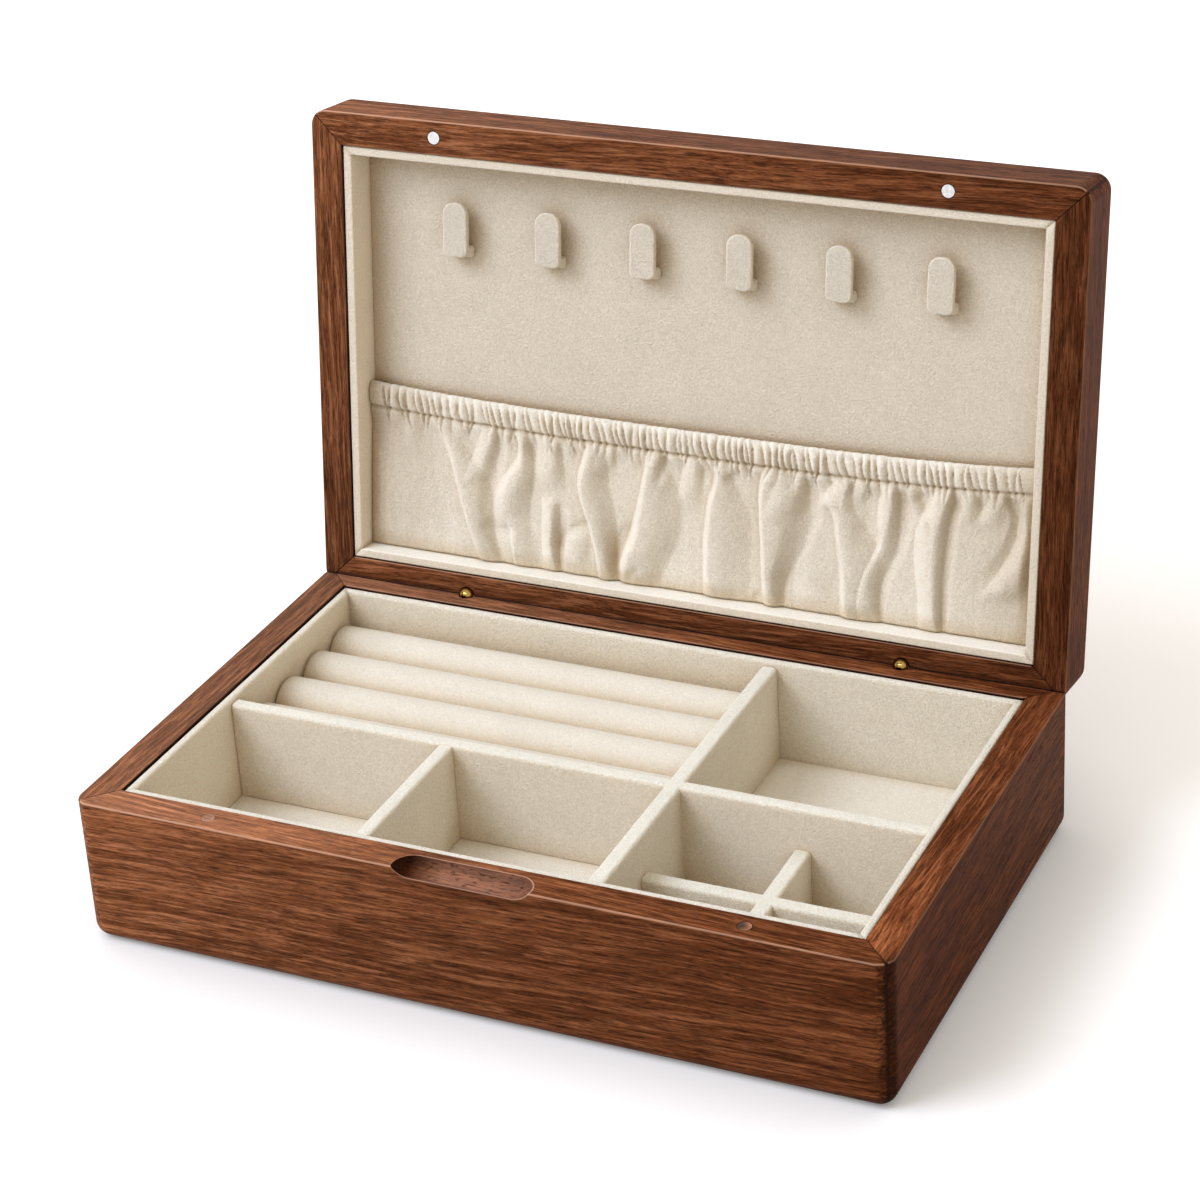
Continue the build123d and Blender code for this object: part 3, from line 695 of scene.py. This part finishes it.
# Folds of the cloth, from the band down. A ridge: height, fullness of its left and right side, and points: x,
# up, share of the height, width to the left and to the right, or one width for both. A groove: height below
# zero, and points: x, up, share of the height and width.
FOLDS = (
    (3, 0.7, 1, ((-109.9, 68.4, 0.45, 4, 5), (-106.4, 63.5, 0.6, 4, 5), (-103.6, 57.9, 0.8, 4, 6),
     (-100.9, 51.6, 1, 4, 9), (-99.2, 45.1, 1, 3.8, 10), (-97.8, 39.9, 1, 3.7, 10), (-96.3, 34.7, 1, 3.6, 9),
     (-94.4, 28.3, 1, 3.5, 7.5), (-92.2, 21.8, 0.95, 3.5, 6.3), (-89, 13.1, 0.85, 3.6, 5.9))),
    (2.2, 1.1, 0.9, ((-87, 68.1, 0.7, 5, 2.2), (-86.9, 65.5, 1, 6, 2.5), (-88.3, 60.6, 1, 6.5, 3.5),
     (-90.3, 55.7, 0.8, 6, 4.5), (-92.3, 50.1, 0.5, 5, 5.5), (-93.5, 45.2, 0, 5, 6))),
    (0.7, 1, 1, ((-100.6, 69.6, 1, 3), (-100.7, 64.3, 0.6, 3), (-100.8, 59.6, 0, 3))),
    (-1.2, ((-83.7, 65.9, 0.5, 3), (-84.8, 59.1, 1, 3.5), (-86.6, 52.2, 1, 3.5), (-87.8, 44, 0.8, 3.5),
     (-88.6, 35.8, 0.6, 3), (-87.6, 27.9, 0.5, 2.6), (-85.2, 21.5, 0.8, 2.2), (-82.2, 13.5, 0.7, 2))),
    (0.9, 1, 1, ((-81, 69.2, 1, 2.6), (-80.2, 64.4, 0.8, 2.6), (-80.9, 58.3, 0, 2.6))),
    (3, 0.9, 1.2, ((-73.5, 69.9, 0.7, 2.6, 2.5), (-72.5, 65.4, 0.9, 3, 3), (-72.4, 59.5, 1, 3.2, 4),
     (-73.6, 54.1, 1, 5, 6), (-75.6, 48.6, 1, 7.5, 7), (-77.4, 43.1, 0.95, 8.5, 7.5),
     (-78.4, 37.6, 0.8, 8, 8), (-78.6, 32.8, 0.58, 7, 8), (-78, 27.6, 0.34, 6, 8), (-77.2, 22, 0.14, 5, 8),
     (-76.6, 17, 0, 5, 8))),
    (1.7, 0.7, 1, ((-76.9, 34, 0, 2.4, 8), (-76.1, 27, 0.6, 2.2, 8.5), (-75.5, 20.2, 1, 2.1, 8.7),
     (-74.8, 12.5, 0.9, 2.1, 8))),
    (2.5, 1.2, 0.8, ((-59.2, 70.5, 0.7, 6, 2.2), (-59.1, 66.6, 1, 8, 2.6), (-59.4, 61.3, 1, 8.5, 3.5),
     (-60.1, 55.9, 0.85, 8, 5), (-60.8, 50.5, 0.4, 7, 6), (-61.4, 46.4, 0, 7, 6))),
    (-0.9, ((-69.6, 68.4, 0.8, 2.5), (-69.3, 61.2, 1, 2.5), (-69, 54.6, 0, 2.5))),
    (0.9, 1, 1, ((-52.3, 69.8, 1, 3, 2), (-52.6, 63.5, 0.8, 3, 2.4), (-53, 58.2, 0, 3, 3))),
    (2.6, 0.9, 0.7, ((-60.3, 45.2, 0, 4, 3), (-59.8, 41.3, 0.7, 4.5, 3), (-59.2, 36.1, 1, 5, 2.6),
     (-59.4, 29.4, 1, 5, 2.4), (-59.5, 24, 1, 4.6, 2.3), (-58.8, 18.7, 1, 5.2, 2),
     (-57.8, 12.8, 0.9, 6, 1.6))),
    (-1.4, ((-55.8, 44.6, 0, 3), (-55.8, 39.2, 0.4, 3), (-55.8, 32.6, 0.7, 3), (-56.9, 25.7, 1, 2.4),
     (-56.2, 19.1, 1, 2), (-55.9, 12.4, 0.8, 2))),
    (1.5, 0.9, 1.6, ((-49.2, 32.9, 0, 5), (-49.2, 28.2, 0.6, 6), (-49.2, 22.8, 1, 6), (-48.9, 17.5, 0.7, 6),
     (-48.5, 13.5, 0.4, 6))),
    (3.6, 0.7, 1.1, ((-41.4, 70.6, 0.6, 3, 4), (-41.8, 67.6, 0.8, 3.6, 5), (-43, 62.2, 1, 4, 7),
     (-44.4, 56.7, 1, 4.2, 8), (-44.7, 52.1, 1, 4, 9), (-43.9, 46.9, 1, 3.8, 9.5), (-42.1, 41.9, 1, 3.6, 9),
     (-40.2, 36.8, 1, 3.6, 8), (-38.7, 31.1, 1, 3.4, 6.5), (-37.2, 25.2, 1, 3.2, 5.2),
     (-36.3, 19.3, 0.95, 3.2, 4.6), (-35.6, 12.1, 0.85, 3.4, 4.4))),
    (1.6, 1, 0.8, ((-34.2, 69.8, 0.7, 4, 1.6), (-34.1, 66.6, 1, 5, 2), (-35, 61.9, 0.8, 5, 2.6),
     (-36.2, 57.1, 0, 5, 3))),
    (-1.4, ((-31.9, 43.3, 0, 4), (-31.9, 38, 0.3, 4), (-31.8, 32, 0.8, 3), (-32.2, 26, 1, 2.6),
     (-31.6, 19.4, 1, 2.2), (-30.5, 12.8, 0.9, 2))),
    (1, 1, 1, ((-21.9, 70.2, 1, 4, 2), (-23.1, 65.5, 0.6, 4, 2.5), (-24.8, 60.7, 0, 4, 3))),
    (-1.6, ((-23.7, 43.1, 0, 4), (-24.2, 39.1, 0.3, 4), (-26.5, 33.5, 1, 4.5), (-28.7, 27.8, 1, 3.5),
     (-30.8, 22.2, 0.7, 2.2), (-31.8, 18, 0, 2))),
    (3.6, 0.75, 1.25, ((-15.4, 70.1, 0.6, 3, 3), (-15.8, 65.2, 0.85, 3.6, 5), (-16.4, 58.6, 1, 4, 9),
     (-17, 52, 1, 4.4, 13), (-18.1, 45.2, 1, 4.5, 14), (-19.2, 38.5, 1, 5, 14.5),
     (-20.7, 32.3, 1, 5.5, 14.5), (-22.5, 26.7, 1, 6.5, 14), (-24.1, 21.2, 0.9, 6, 13),
     (-24.9, 17.1, 0.8, 5, 12), (-24.7, 12.7, 0.7, 5, 11))),
    (1.6, 1.1, 1, ((2.6, 70, 0.7, 4, 2.5), (2.2, 65.1, 1, 5.5, 3.2), (1.2, 58.4, 1, 5.5, 4),
     (0.3, 51.8, 0.4, 5, 5), (-0.3, 47.8, 0, 5, 5))),
    (-0.7, ((5.4, 69.4, 1, 2.5), (5.2, 62.9, 0.8, 2.5), (4.6, 57.6, 0, 2.5))),
    (2.9, 0.75, 1.3, ((12.9, 70.1, 0.6, 2.6, 2.2), (13.3, 66.6, 0.9, 3, 2.6), (13.3, 62.7, 1, 3, 4),
     (12.9, 58.8, 1, 3.2, 7), (11.8, 54.8, 1, 3.6, 10), (11.3, 49.5, 1, 3.8, 13), (11, 42.9, 1, 4, 14),
     (10.8, 36.3, 1, 4.2, 14), (10.7, 29.8, 1, 4.2, 14), (11, 23.2, 0.95, 4.3, 14),
     (11.6, 13.4, 0.85, 4.6, 13))),
    (1.4, 1, 0.7, ((20, 70.4, 0.8, 3, 1.6), (18.7, 68, 1, 3.6, 2), (16.5, 65.1, 0.6, 3.6, 2),
     (14.5, 62.9, 0, 3.6, 2))),
    (4, 0.65, 1.2, ((34.8, 70.5, 0.6, 3, 4), (34.1, 66.9, 0.85, 3.8, 6), (33.4, 61.7, 1, 4, 12),
     (33.4, 56.5, 1, 4, 15), (33.8, 50.1, 1, 3.8, 16), (34.4, 43.8, 1, 3.8, 14), (34.9, 37.3, 1, 3.7, 12),
     (35.2, 30.9, 1, 3.7, 9), (35.5, 24.4, 0.95, 3.6, 5.6), (35.9, 18.5, 0.9, 3.7, 4.6),
     (36.4, 13.7, 0.85, 3.8, 4.2))),
    (2.4, 1.2, 0.8, ((47.3, 71.3, 0.7, 6, 1.6), (47.1, 67.5, 1, 9, 2.4), (45.7, 62.8, 1, 9.5, 4),
     (43.2, 58, 0.7, 8, 6), (41.1, 53.1, 0.3, 7, 7), (39.8, 49.7, 0, 7, 7))),
    (-1.6, ((49.4, 70.3, 0.2, 3), (49.5, 66.5, 0.6, 3), (50.4, 60.2, 1, 4), (49.9, 52.5, 0.9, 5),
     (47.2, 44.4, 0.8, 5), (44.7, 37.5, 0.9, 4.5), (42.3, 30.6, 1, 3.4), (40.3, 24.4, 1, 2.4),
     (40, 19.2, 0.9, 2), (40.3, 13.3, 0.8, 1.8))),
    (-1, ((30.3, 19, 0, 1.8), (29.5, 15.2, 1, 1.8), (29.3, 12.9, 1, 1.8))),
    (1, 1.2, 1.5, ((50.9, 38.4, 0, 8), (51.4, 33.3, 0.3, 8), (52.2, 26.9, 1, 8), (53, 20.5, 0.8, 8),
     (53.9, 14.1, 0.4, 8))),
    (3.2, 0.9, 1.2, ((65.7, 69.2, 0.7, 4.5, 2), (65.3, 65.3, 1, 7, 2.6), (64.3, 60.7, 1, 9, 3.5),
     (63.6, 56.8, 0.9, 5, 5), (64.4, 51.8, 0.9, 3.6, 8), (65.7, 45.6, 0.95, 4, 11), (67, 39.4, 1, 4.2, 13),
     (67.9, 33, 1, 4, 13), (68.4, 26.6, 1, 3.9, 11), (68.7, 20.2, 1, 3.9, 10), (69, 12.7, 0.9, 4, 9))),
    (1.3, 1, 1, ((58.1, 63.1, 0, 4, 5), (58.2, 61.1, 0.6, 4, 5), (57.9, 58.6, 1, 4, 5),
     (57.7, 56.3, 0.3, 4, 5), (57.7, 54.7, 0, 4, 5))),
    (1.5, 1, 0.8, ((73.8, 70.3, 0.8, 3.5, 1.6), (73.1, 67.1, 1, 4.5, 2.2), (71.3, 63, 0.7, 4.5, 3),
     (69.8, 59, 0, 4.5, 3))),
    (-1, ((75.2, 62.3, 0, 5), (75, 58.5, 0.5, 5), (74.6, 50.7, 1, 5), (75.4, 44.5, 0.5, 5),
     (75.6, 39.4, 0, 5))),
    (2.9, 0.9, 0.9, ((84, 71.1, 0.7, 3, 2), (84.2, 66.1, 1, 4.6, 2.6), (84, 60.4, 1, 5.5, 3),
     (83.7, 54.6, 1, 5.5, 3.2), (83.7, 49.5, 0.9, 4.5, 3.4), (82.8, 43.7, 0.7, 4, 4),
     (80.8, 37.6, 0.5, 4, 4), (78.7, 32.1, 0.5, 4, 3), (78.3, 25.6, 0.6, 5, 2.4), (78.7, 19.2, 0.7, 6, 2),
     (80, 12.9, 0.8, 7, 1.8))),
    (-1.6, ((87.3, 69.1, 0.7, 2.4), (88.5, 62.9, 1, 3), (88.4, 56.6, 1, 3.4), (87.4, 50.1, 1, 4),
     (85.7, 43.4, 0.9, 4), (83.4, 37.3, 0.8, 4), (81, 31.2, 0.7, 3.5), (80.6, 24.6, 0.7, 3),
     (80.8, 19.5, 0.8, 2.2), (82, 13.2, 0.8, 2))),
    (1.8, 0.8, 1, ((90.9, 71.5, 0.7, 2, 2.4), (91.7, 67.2, 1, 2.2, 3), (93.6, 62.4, 1, 2.4, 3.4),
     (95.5, 57.6, 0.9, 3, 4), (96.6, 54, 0.3, 3, 4), (97.2, 51.5, 0, 3, 4))),
    (-1.2, ((95.2, 70.2, 0.3, 3), (95.3, 67.7, 0.7, 3.4), (95.1, 64.5, 1, 4), (95.1, 60.1, 0.6, 3),
     (95.4, 57, 0, 3))),
    (3.4, 0.9, 0.75, ((107.5, 71.3, 0.6, 5, 1.8), (107, 68.1, 1, 7.5, 2), (105.7, 63.5, 1, 7.5, 2.4),
     (104.5, 57.7, 1, 8.5, 2.6), (103.9, 51.3, 1, 10, 2.6), (103.6, 43.6, 1, 9.6, 2.4),
     (103.4, 35.9, 1, 8.6, 2.4), (103.6, 29.5, 1, 7.6, 2.2), (103.9, 23.2, 1, 7, 2),
     (104.3, 18, 1, 7.4, 1.9), (104.6, 12.6, 0.9, 7.6, 1.9))),
    (-1.6, ((109.4, 67.2, 0.8, 2.4), (107.8, 60.7, 1, 3), (107, 53, 1, 3.4), (106.5, 44, 0.9, 3.4),
     (106.1, 35, 0.8, 3), (106.1, 26.1, 0.8, 2.6), (106.3, 18.4, 0.9, 2), (106.8, 12.3, 0.8, 1.8))),
    (1.4, 1, 1, ((116.7, 72, 0.8, 4, 2.4), (116.3, 67.6, 1, 4.5, 3), (115.4, 62.4, 0.8, 4.5, 4),
     (114.8, 57.9, 0, 4.5, 4))),
    (-0.9, ((119.2, 71.1, 0.4, 3), (119.3, 68.6, 0.7, 3), (119.5, 64.3, 1, 4), (120.3, 60, 0.3, 4),
     (120.8, 57.5, 0, 4))),
    (1.4, 1, 1.1, ((128.1, 72.7, 0.7, 4, 1.6), (127.1, 68.5, 1, 5, 3), (124.8, 63.8, 0.9, 5, 5),
     (122.5, 59.7, 0.4, 5, 6), (121.7, 56.4, 0, 5, 6))),
    (-2, ((129.8, 72, 0.6, 1.6), (132, 68.6, 0.9, 2.2), (133.9, 64.5, 1, 2.6), (134.7, 59.6, 1, 3),
     (134.2, 53.2, 0.9, 4), (132.4, 47.3, 0.8, 5), (129.3, 41.2, 0.6, 6), (125.3, 34.2, 0, 7))),
    (2.2, 1, 1.6, ((140.9, 73.6, 0.6, 5, 4), (141.5, 68.1, 1, 7, 5), (141.2, 61.8, 1, 7, 6),
     (140.4, 54.8, 1, 6.5, 8), (138, 47.5, 1, 6.5, 9), (134.6, 40.7, 0.9, 6.5, 10),
     (130.9, 34.4, 0.7, 7, 10), (127.4, 28.1, 0, 8, 10))),
    (0.8, 1.5, 1.5, ((-122.8, 70.7, 0.7, 4), (-123.2, 64.6, 1, 4), (-124.1, 57.8, 0.3, 4),
     (-124.4, 53.7, 0, 4))),
    (-0.8, ((-116.4, 66.2, 0, 7), (-115.7, 61.6, 0.6, 7), (-113.7, 55.2, 1, 7), (-112.4, 48.6, 0.6, 7),
     (-111.8, 42, 0, 7))),
)

# Short creases that run across the folds: height, width and points (x, up).
CREASES = (
    (-0.6, 3.6, ((-86.9, 28.7), (-82.7, 27.3), (-78, 27.6))),
    (-0.8, 3.6, ((-56.4, 24.4), (-54.5, 28.4), (-51, 31.3), (-46.8, 33.6), (-44, 35))),
    (-0.6, 3.0, ((-20.8, 19.7), (-23.5, 17.3), (-24.9, 13.4))),
    (-0.9, 2.8, ((-10.4, 69.5), (-11.3, 64.5), (-12.2, 59.8))),
)

# Grooves are drawn shallower and wider than listed, and right sides wider and softer. A ridge is lower where
# its right side is narrower than BROAD_RIDGE.
GROOVE_DEPTH, GROOVE_WIDTH, GROOVE_FULLNESS = 0.6, 1.25, 1.6
RIGHT_WIDTH, RIGHT_FULLNESS, BROAD_RIDGE = 1.15, 1.45, 7.5
# Pleats of the band: where they start and end, their widths and how much those vary
PLEATS_X, PLEAT_WIDTHS, PLEAT_SPREAD = (-136.0, 135.0), [2.3, 2.8, 3.4, 4.3], 0.35


def lean_back(up):
    """The elastic draws the pocket back towards the panel, as far as here by the height."""
    return DRAWN_BACK * np.clip((up - POCKET_FOOT) / (STITCH_UP - POCKET_FOOT), 0, 1)


def lid_point(x, up, n):
    """A place in the lid, in metres in the row frame, with the lid open."""
    deep = n + HALF_SEAM
    y = up * math.sin(LEAN) + deep * math.cos(LEAN)
    z = up * math.cos(LEAN) - deep * math.sin(LEAN)
    return np.stack([x * MM, AXIS_Y + y * MM, AXIS_Z + z * MM], -1)


def ease(value, low, high):
    """0 below low, 1 above high and smooth between."""
    t = np.clip((value - low) / (high - low), 0.0, 1.0)
    return t * t * (3 - 2 * t)


def sag(x):
    """How far the slack band rises towards its fixed ends."""
    return np.where(x < 0, 3.0, 4.1) * (np.abs(x) / POCKET_X) ** 3


def along_fold(up, points):
    """A fold's middle, share and widths at each height, rounded at its points."""
    columns = np.array(points, float)[::-1].T
    heights = columns[1]
    fine = np.arange(heights[0] - 6, heights[-1] + 6, 0.25)
    kernel = np.hanning(21) / np.hanning(21).sum()
    made = []
    for column in (columns[0], *columns[2:]):
        raw = np.interp(fine, heights, column)
        made.append(np.interp(up, fine, np.convolve(np.pad(raw, 10, "edge"), kernel, "valid")))
    return made


def fold_height(x, up):
    """Sum of the ridges and grooves that the fold lines draw on the cloth."""
    height = np.zeros_like(x)
    for rise, *full, points in FOLDS:
        middle, share, *widths = along_fold(up, points)
        away, left, right = x - middle, widths[0], widths[-1]
        if rise > 0:
            fullness = np.where(away < 0, full[0], max(full[1], RIGHT_FULLNESS))
            wider, depth = 1.0, rise * share * (0.45 + 0.55 * np.clip(right / BROAD_RIDGE, 0, 1))
        else:
            fullness, wider, depth = GROOVE_FULLNESS, GROOVE_WIDTH, GROOVE_DEPTH * rise * share
        reach = np.clip(np.abs(away) / np.where(away < 0, wider * left, RIGHT_WIDTH * wider * right), 0, 1)
        height += depth * (1 - reach ** 2) ** fullness
    for rise, wide, line in CREASES:
        best = np.full_like(x, 1e9)
        for (xa, ua), (xb, ub) in zip(line[:-1], line[1:]):
            length = (xb - xa) ** 2 + (ub - ua) ** 2
            t = np.clip(((x - xa) * (xb - xa) + (up - ua) * (ub - ua)) / length, 0, 1)
            best = np.minimum(best, (x - xa - t * (xb - xa)) ** 2 + (up - ua - t * (ub - ua)) ** 2)
        height += rise * np.exp(-2.2 * best / wide ** 2)
    return height


def pleats(x, above, draw):
    """Rounded pleats of the band, with narrow grooves between; 0 in a groove and up to 1 on a ridge."""
    edges = [PLEATS_X[0]]
    while edges[-1] < PLEATS_X[1]:
        edges.append(edges[-1] + draw.choice(PLEAT_WIDTHS) + draw.uniform(-PLEAT_SPREAD, PLEAT_SPREAD))
    edges = np.array(edges)
    lean, bend = draw.uniform(-0.30, 0.06, len(edges)), draw.uniform(-0.035, 0.035, len(edges))
    size = draw.uniform(0.45, 1.0, len(edges))
    made = np.zeros_like(x)
    for row in range(x.shape[0]):
        lift = above[row, 0] - 5.0
        grooves = np.sort(edges + lean * lift + bend * lift * lift)
        cell = np.clip(np.searchsorted(grooves, x[row]) - 1, 0, len(grooves) - 2)
        share = (x[row] - grooves[cell]) / (grooves[cell + 1] - grooves[cell])
        inside = (share >= 0) & (share <= 1)
        arch = np.sin(np.pi * np.clip(share, 0, 1) ** 0.85)
        made[row] = np.where(inside, size[cell] * np.clip(arch, 0, 1) ** 0.55, 0.8)
    return made


def waver(x, up, across, along, seed):
    """Smooth uneven values from -1 to 1."""
    flat = [noise.noise(Vector((a / across, b / along, seed))) for a, b in zip(x.ravel(), up.ravel())]
    return np.array(flat).reshape(x.shape)


def pocket_front(x, up, above, ridge):
    """How far the front of the pocket stands out from its plain face, in millimetres."""
    # the cloth: folds that fade out at the band, the side strips and the foot, on a slight fullness
    ends = 0.25 + 0.75 * ease(142.6 - np.abs(x), 0.0, 6.0)
    below = np.clip(-above, 0, None)
    puff = 1.3 * np.sin(np.pi * np.clip((up - POCKET_FOOT) / (STITCH_UP - POCKET_FOOT), 0, 1)) ** 0.6
    left_bulge = 1.4 * np.exp(-((x + 126) / 14) ** 2 - ((up - 36) / 22) ** 2)
    folds = FOLD_GAIN * fold_height(x, up) * (0.45 + 0.55 * ease(below, 0.0, 5.0))
    cloth = (folds + puff + left_bulge) * ends
    cloth *= 0.42 + 0.58 * ease(up, POCKET_FOOT - 1, POCKET_FOOT + 8)
    # the pleats run on below the stitches
    cloth += (1.2 + 1.9 * (ridge - 0.3)) * (1 - ease(below, 0.0, 9.5)) ** 1.4
    cloth += 0.18 * waver(x, up, 5.5, 14.0, 2.0) + 0.10 * waver(x, up, 2.2, 4.5, 5.0)
    # the band: pleats that close towards its top edge
    tall = np.clip(above / BAND_HIGH, 0, 1)
    swell = np.clip(np.sin(np.pi * np.clip(tall * 0.93 + 0.04, 0, 1)), 0, 1) ** 0.45
    closing = ease(tall, 0.6, 1.0)
    band = 0.7 + swell * (0.1 + 2.7 * ridge * (1 - 0.7 * closing) + 0.8 * closing)
    on_band = ease(above, -0.5, 0.5)
    stitch = np.exp(-(above / 0.65) ** 2) * (1.5 - 0.8 * ridge)
    return cloth * (1 - on_band) + band * on_band - stitch


def make_pocket():
    """The gathered pocket and its elastic band: one cloth with front and back, pinched at the stitches."""
    columns = np.linspace(-POCKET_X, POCKET_X, round(2 * POCKET_X / X_STEP) + 1)
    cloth_rows = np.linspace(0, 1, round((STITCH_UP - POCKET_FOOT) / UP_STEP))[:-1]
    band_rows = np.concatenate([np.arange(0, BAND_HIGH - TOP_ROUND, BAND_STEP),
                                BAND_HIGH - TOP_ROUND * (1 - np.sin(np.linspace(0, math.pi / 2, 7)))])
    x, cloth_share = np.meshgrid(columns, cloth_rows)
    stitch = STITCH_UP + sag(x)
    low = POCKET_FOOT + (stitch - POCKET_FOOT) * cloth_share
    high_x, above = np.meshgrid(columns, band_rows)
    x = np.concatenate([x, high_x])
    up = np.concatenate([low, STITCH_UP + sag(high_x) + above])
    above = up - STITCH_UP - sag(x)
    ridge = pleats(x, above, np.random.RandomState(11))
    stand = pocket_front(x, up, above, ridge)

    # a cloth that thickens into the band and is rounded over at its top, drawn back by the elastic
    near_top = np.clip((BAND_HIGH - above) / TOP_ROUND, 0, 1)
    round_over = np.sqrt(1 - (1 - near_top) ** 2)
    thick = CLOTH_THICK + (BAND_THICK - CLOTH_THICK) * ease(above, -1, 1)
    front = POCKET_FRONT - stand + (1 - round_over) * thick * 0.5 + lean_back(up)
    thick = thick * (0.1 + 0.9 * round_over)
    tall = up + 0.5 * (ridge - 0.8) * ease(above, 3.0, BAND_HIGH) - 0.36 * lean_back(up)
    points = np.concatenate([lid_point(x, tall, deep).reshape(-1, 3) for deep in (front, front + thick)])

    high, wide = x.shape
    index = np.arange(wide * high).reshape(high, wide)
    corners = index[:-1, :-1], index[:-1, 1:], index[1:, 1:], index[1:, :-1]
    faces = np.stack([corner.ravel() for corner in corners], 1)
    back = faces[:, ::-1] + wide * high
    loop = np.concatenate([index[0, :], index[1:, -1], index[-1, -2::-1], index[-2:0:-1, 0]])
    after = np.roll(loop, -1)
    edge = np.stack([loop, loop + wide * high, after + wide * high, after], 1)
    piece = add_mesh("gathered_pocket", points, np.concatenate([faces, back, edge]).tolist(), pocket_velour())
    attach(piece, "lid")
    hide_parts("pocket_cloth", "pocket_band")


def pocket_velour():
    """Soft cream velour of the pocket, with painted shade at its left and right ends and painted light low
    down and along its band.
    """
    # painted shade at both ends and painted light low down and along the band; painted light on the folds'
    # left faces, painted shade on their right faces and in the hollows
    light_runs = (("X", -0.142, -0.105, 0.72, 1.0), ("X", 0.105, 0.138, 1.0, 0.79),
              ("Z", 0.080, 0.125, 1.09, 0.99), ("Z", 0.127, 0.131, 1.0, 1.14))
    return microsuede("pocket_velour", (0.868, 0.808, 0.698), reach=0.009, sheen=0.60,
                      right=(0.84, 0.81, 0.76), left=(1.22, 1.23, 1.26), corner=(0.74, 0.63, 0.47),
                      upper_light=(1.05, 1.08, 1.12), light_runs=light_runs, hollow=(0.45, 0.90))


# ---- stage, light and camera
def make_floor():
    """A plain floor that looks pale near by and far off, keeps the box's shadow, and carries painted shade
    close round the box.
    """
    mesh = bpy.data.meshes.new("studio_floor")
    corners = [(-1, -1), (1, -1), (1, 1), (-1, 1)]
    mesh.from_pydata([(FLOOR_HALF * x, FLOOR_HALF * y, -FLOOR_DROP) for x, y in corners], [], [(0, 1, 2, 3)])
    floor = show("studio_floor", mesh)
    g = new_graph("white_floor")
    paper, seen = g.noise(g.place(), 8.0, 2.0), g.seen()
    unseen = g.mix(paper, (0.60, 0.60, 0.60, 1), (0.62, 0.62, 0.62, 1))
    colour = g.mix(seen, unseen, g.mix(paper, (0.915, 0.93, 0.965, 1), (0.93, 0.945, 0.98, 1)))
    # painted contact shade: darker where the box stands near, in both the floor's colour and its glow
    contact_shade = g.spread(g.openness(0.06), 0.45, 1.0, 0.74, 1.0)
    diffuse = g.node("BsdfDiffuse", {"Color": g.tinted(colour, contact_shade, contact_shade, contact_shade)})
    glow = g.plus(FLOOR_GLOW, g.spread(g.size(g.place()), 0.5, 1.8, 0.0, FAR_GLOW))
    glow = g.node("Emission", {"Color": WHITE, "Strength": g.times(seen, glow, contact_shade)})
    both = g.node("AddShader", {0: diffuse.outputs[0], 1: glow.outputs[0]})
    g.node("OutputMaterial", {"Surface": both.outputs[0]})
    mesh.materials.append(g.owner)


def make_world():
    """A pale surround, brighter to the upper left, that the camera sees as plain white."""
    world = bpy.data.worlds.new("studio_world")
    bpy.context.scene.world = world
    g = Graph(world)
    way, seen = g.node("TexCoord").outputs["Generated"], g.seen()
    side = g.node("VectorMath", {0: way, 1: SKY_SIDE}, operation="DOT_PRODUCT").outputs["Value"]
    ambient = g.plus(SKY_LEVEL, g.times(side, SKY_SWING))
    background = g.node("Background", {"Color": g.mix(seen, SKY_COLOUR, WHITE),
                                       "Strength": g.between(seen, ambient, 1.0)})
    g.node("OutputWorld", {"Surface": background.outputs[0]})


def make_key_light():
    data = bpy.data.lights.new("key", "AREA")
    data.shape, data.size, data.energy, data.color = "DISK", KEY_SIZE, KEY_POWER, KEY_COLOUR
    lamp = show("key", data)
    lamp.location = KEY_PLACE
    lamp.rotation_euler = (Vector(KEY_TARGET) - Vector(KEY_PLACE)).to_track_quat("-Z", "Y").to_euler()


def make_camera():
    """The photograph's camera: yaw and pitch, then a slight roll about its own axis."""
    yaw, pitch, roll = CAMERA_YAW, CAMERA_PITCH, CAMERA_ROLL
    ahead = Vector((-math.sin(yaw) * math.cos(pitch), math.cos(yaw) * math.cos(pitch), -math.sin(pitch)))
    level = ahead.cross(Vector((0, 0, 1))).normalized()
    upright = level.cross(ahead)
    right = math.cos(roll) * level + math.sin(roll) * upright
    up = -math.sin(roll) * level + math.cos(roll) * upright
    data = bpy.data.cameras.new("photo_camera")
    data.lens, data.sensor_width = CAMERA_LENS, SENSOR
    data.clip_start, data.clip_end = NEAREST, FARTHEST
    camera = show("photo_camera", data)
    camera.matrix_world = Matrix.Translation(CAMERA_PLACE) @ Matrix((right, up, -ahead)).transposed().to_4x4()
    bpy.context.scene.camera = camera


dress_wood()
dress_lining()
dress_metal()
make_rolls()
make_dividers()
make_linings()
make_hooks()
make_pocket()
make_floor()
make_world()
make_key_light()
make_camera()
bpy.context.scene.view_settings.view_transform = "Standard"
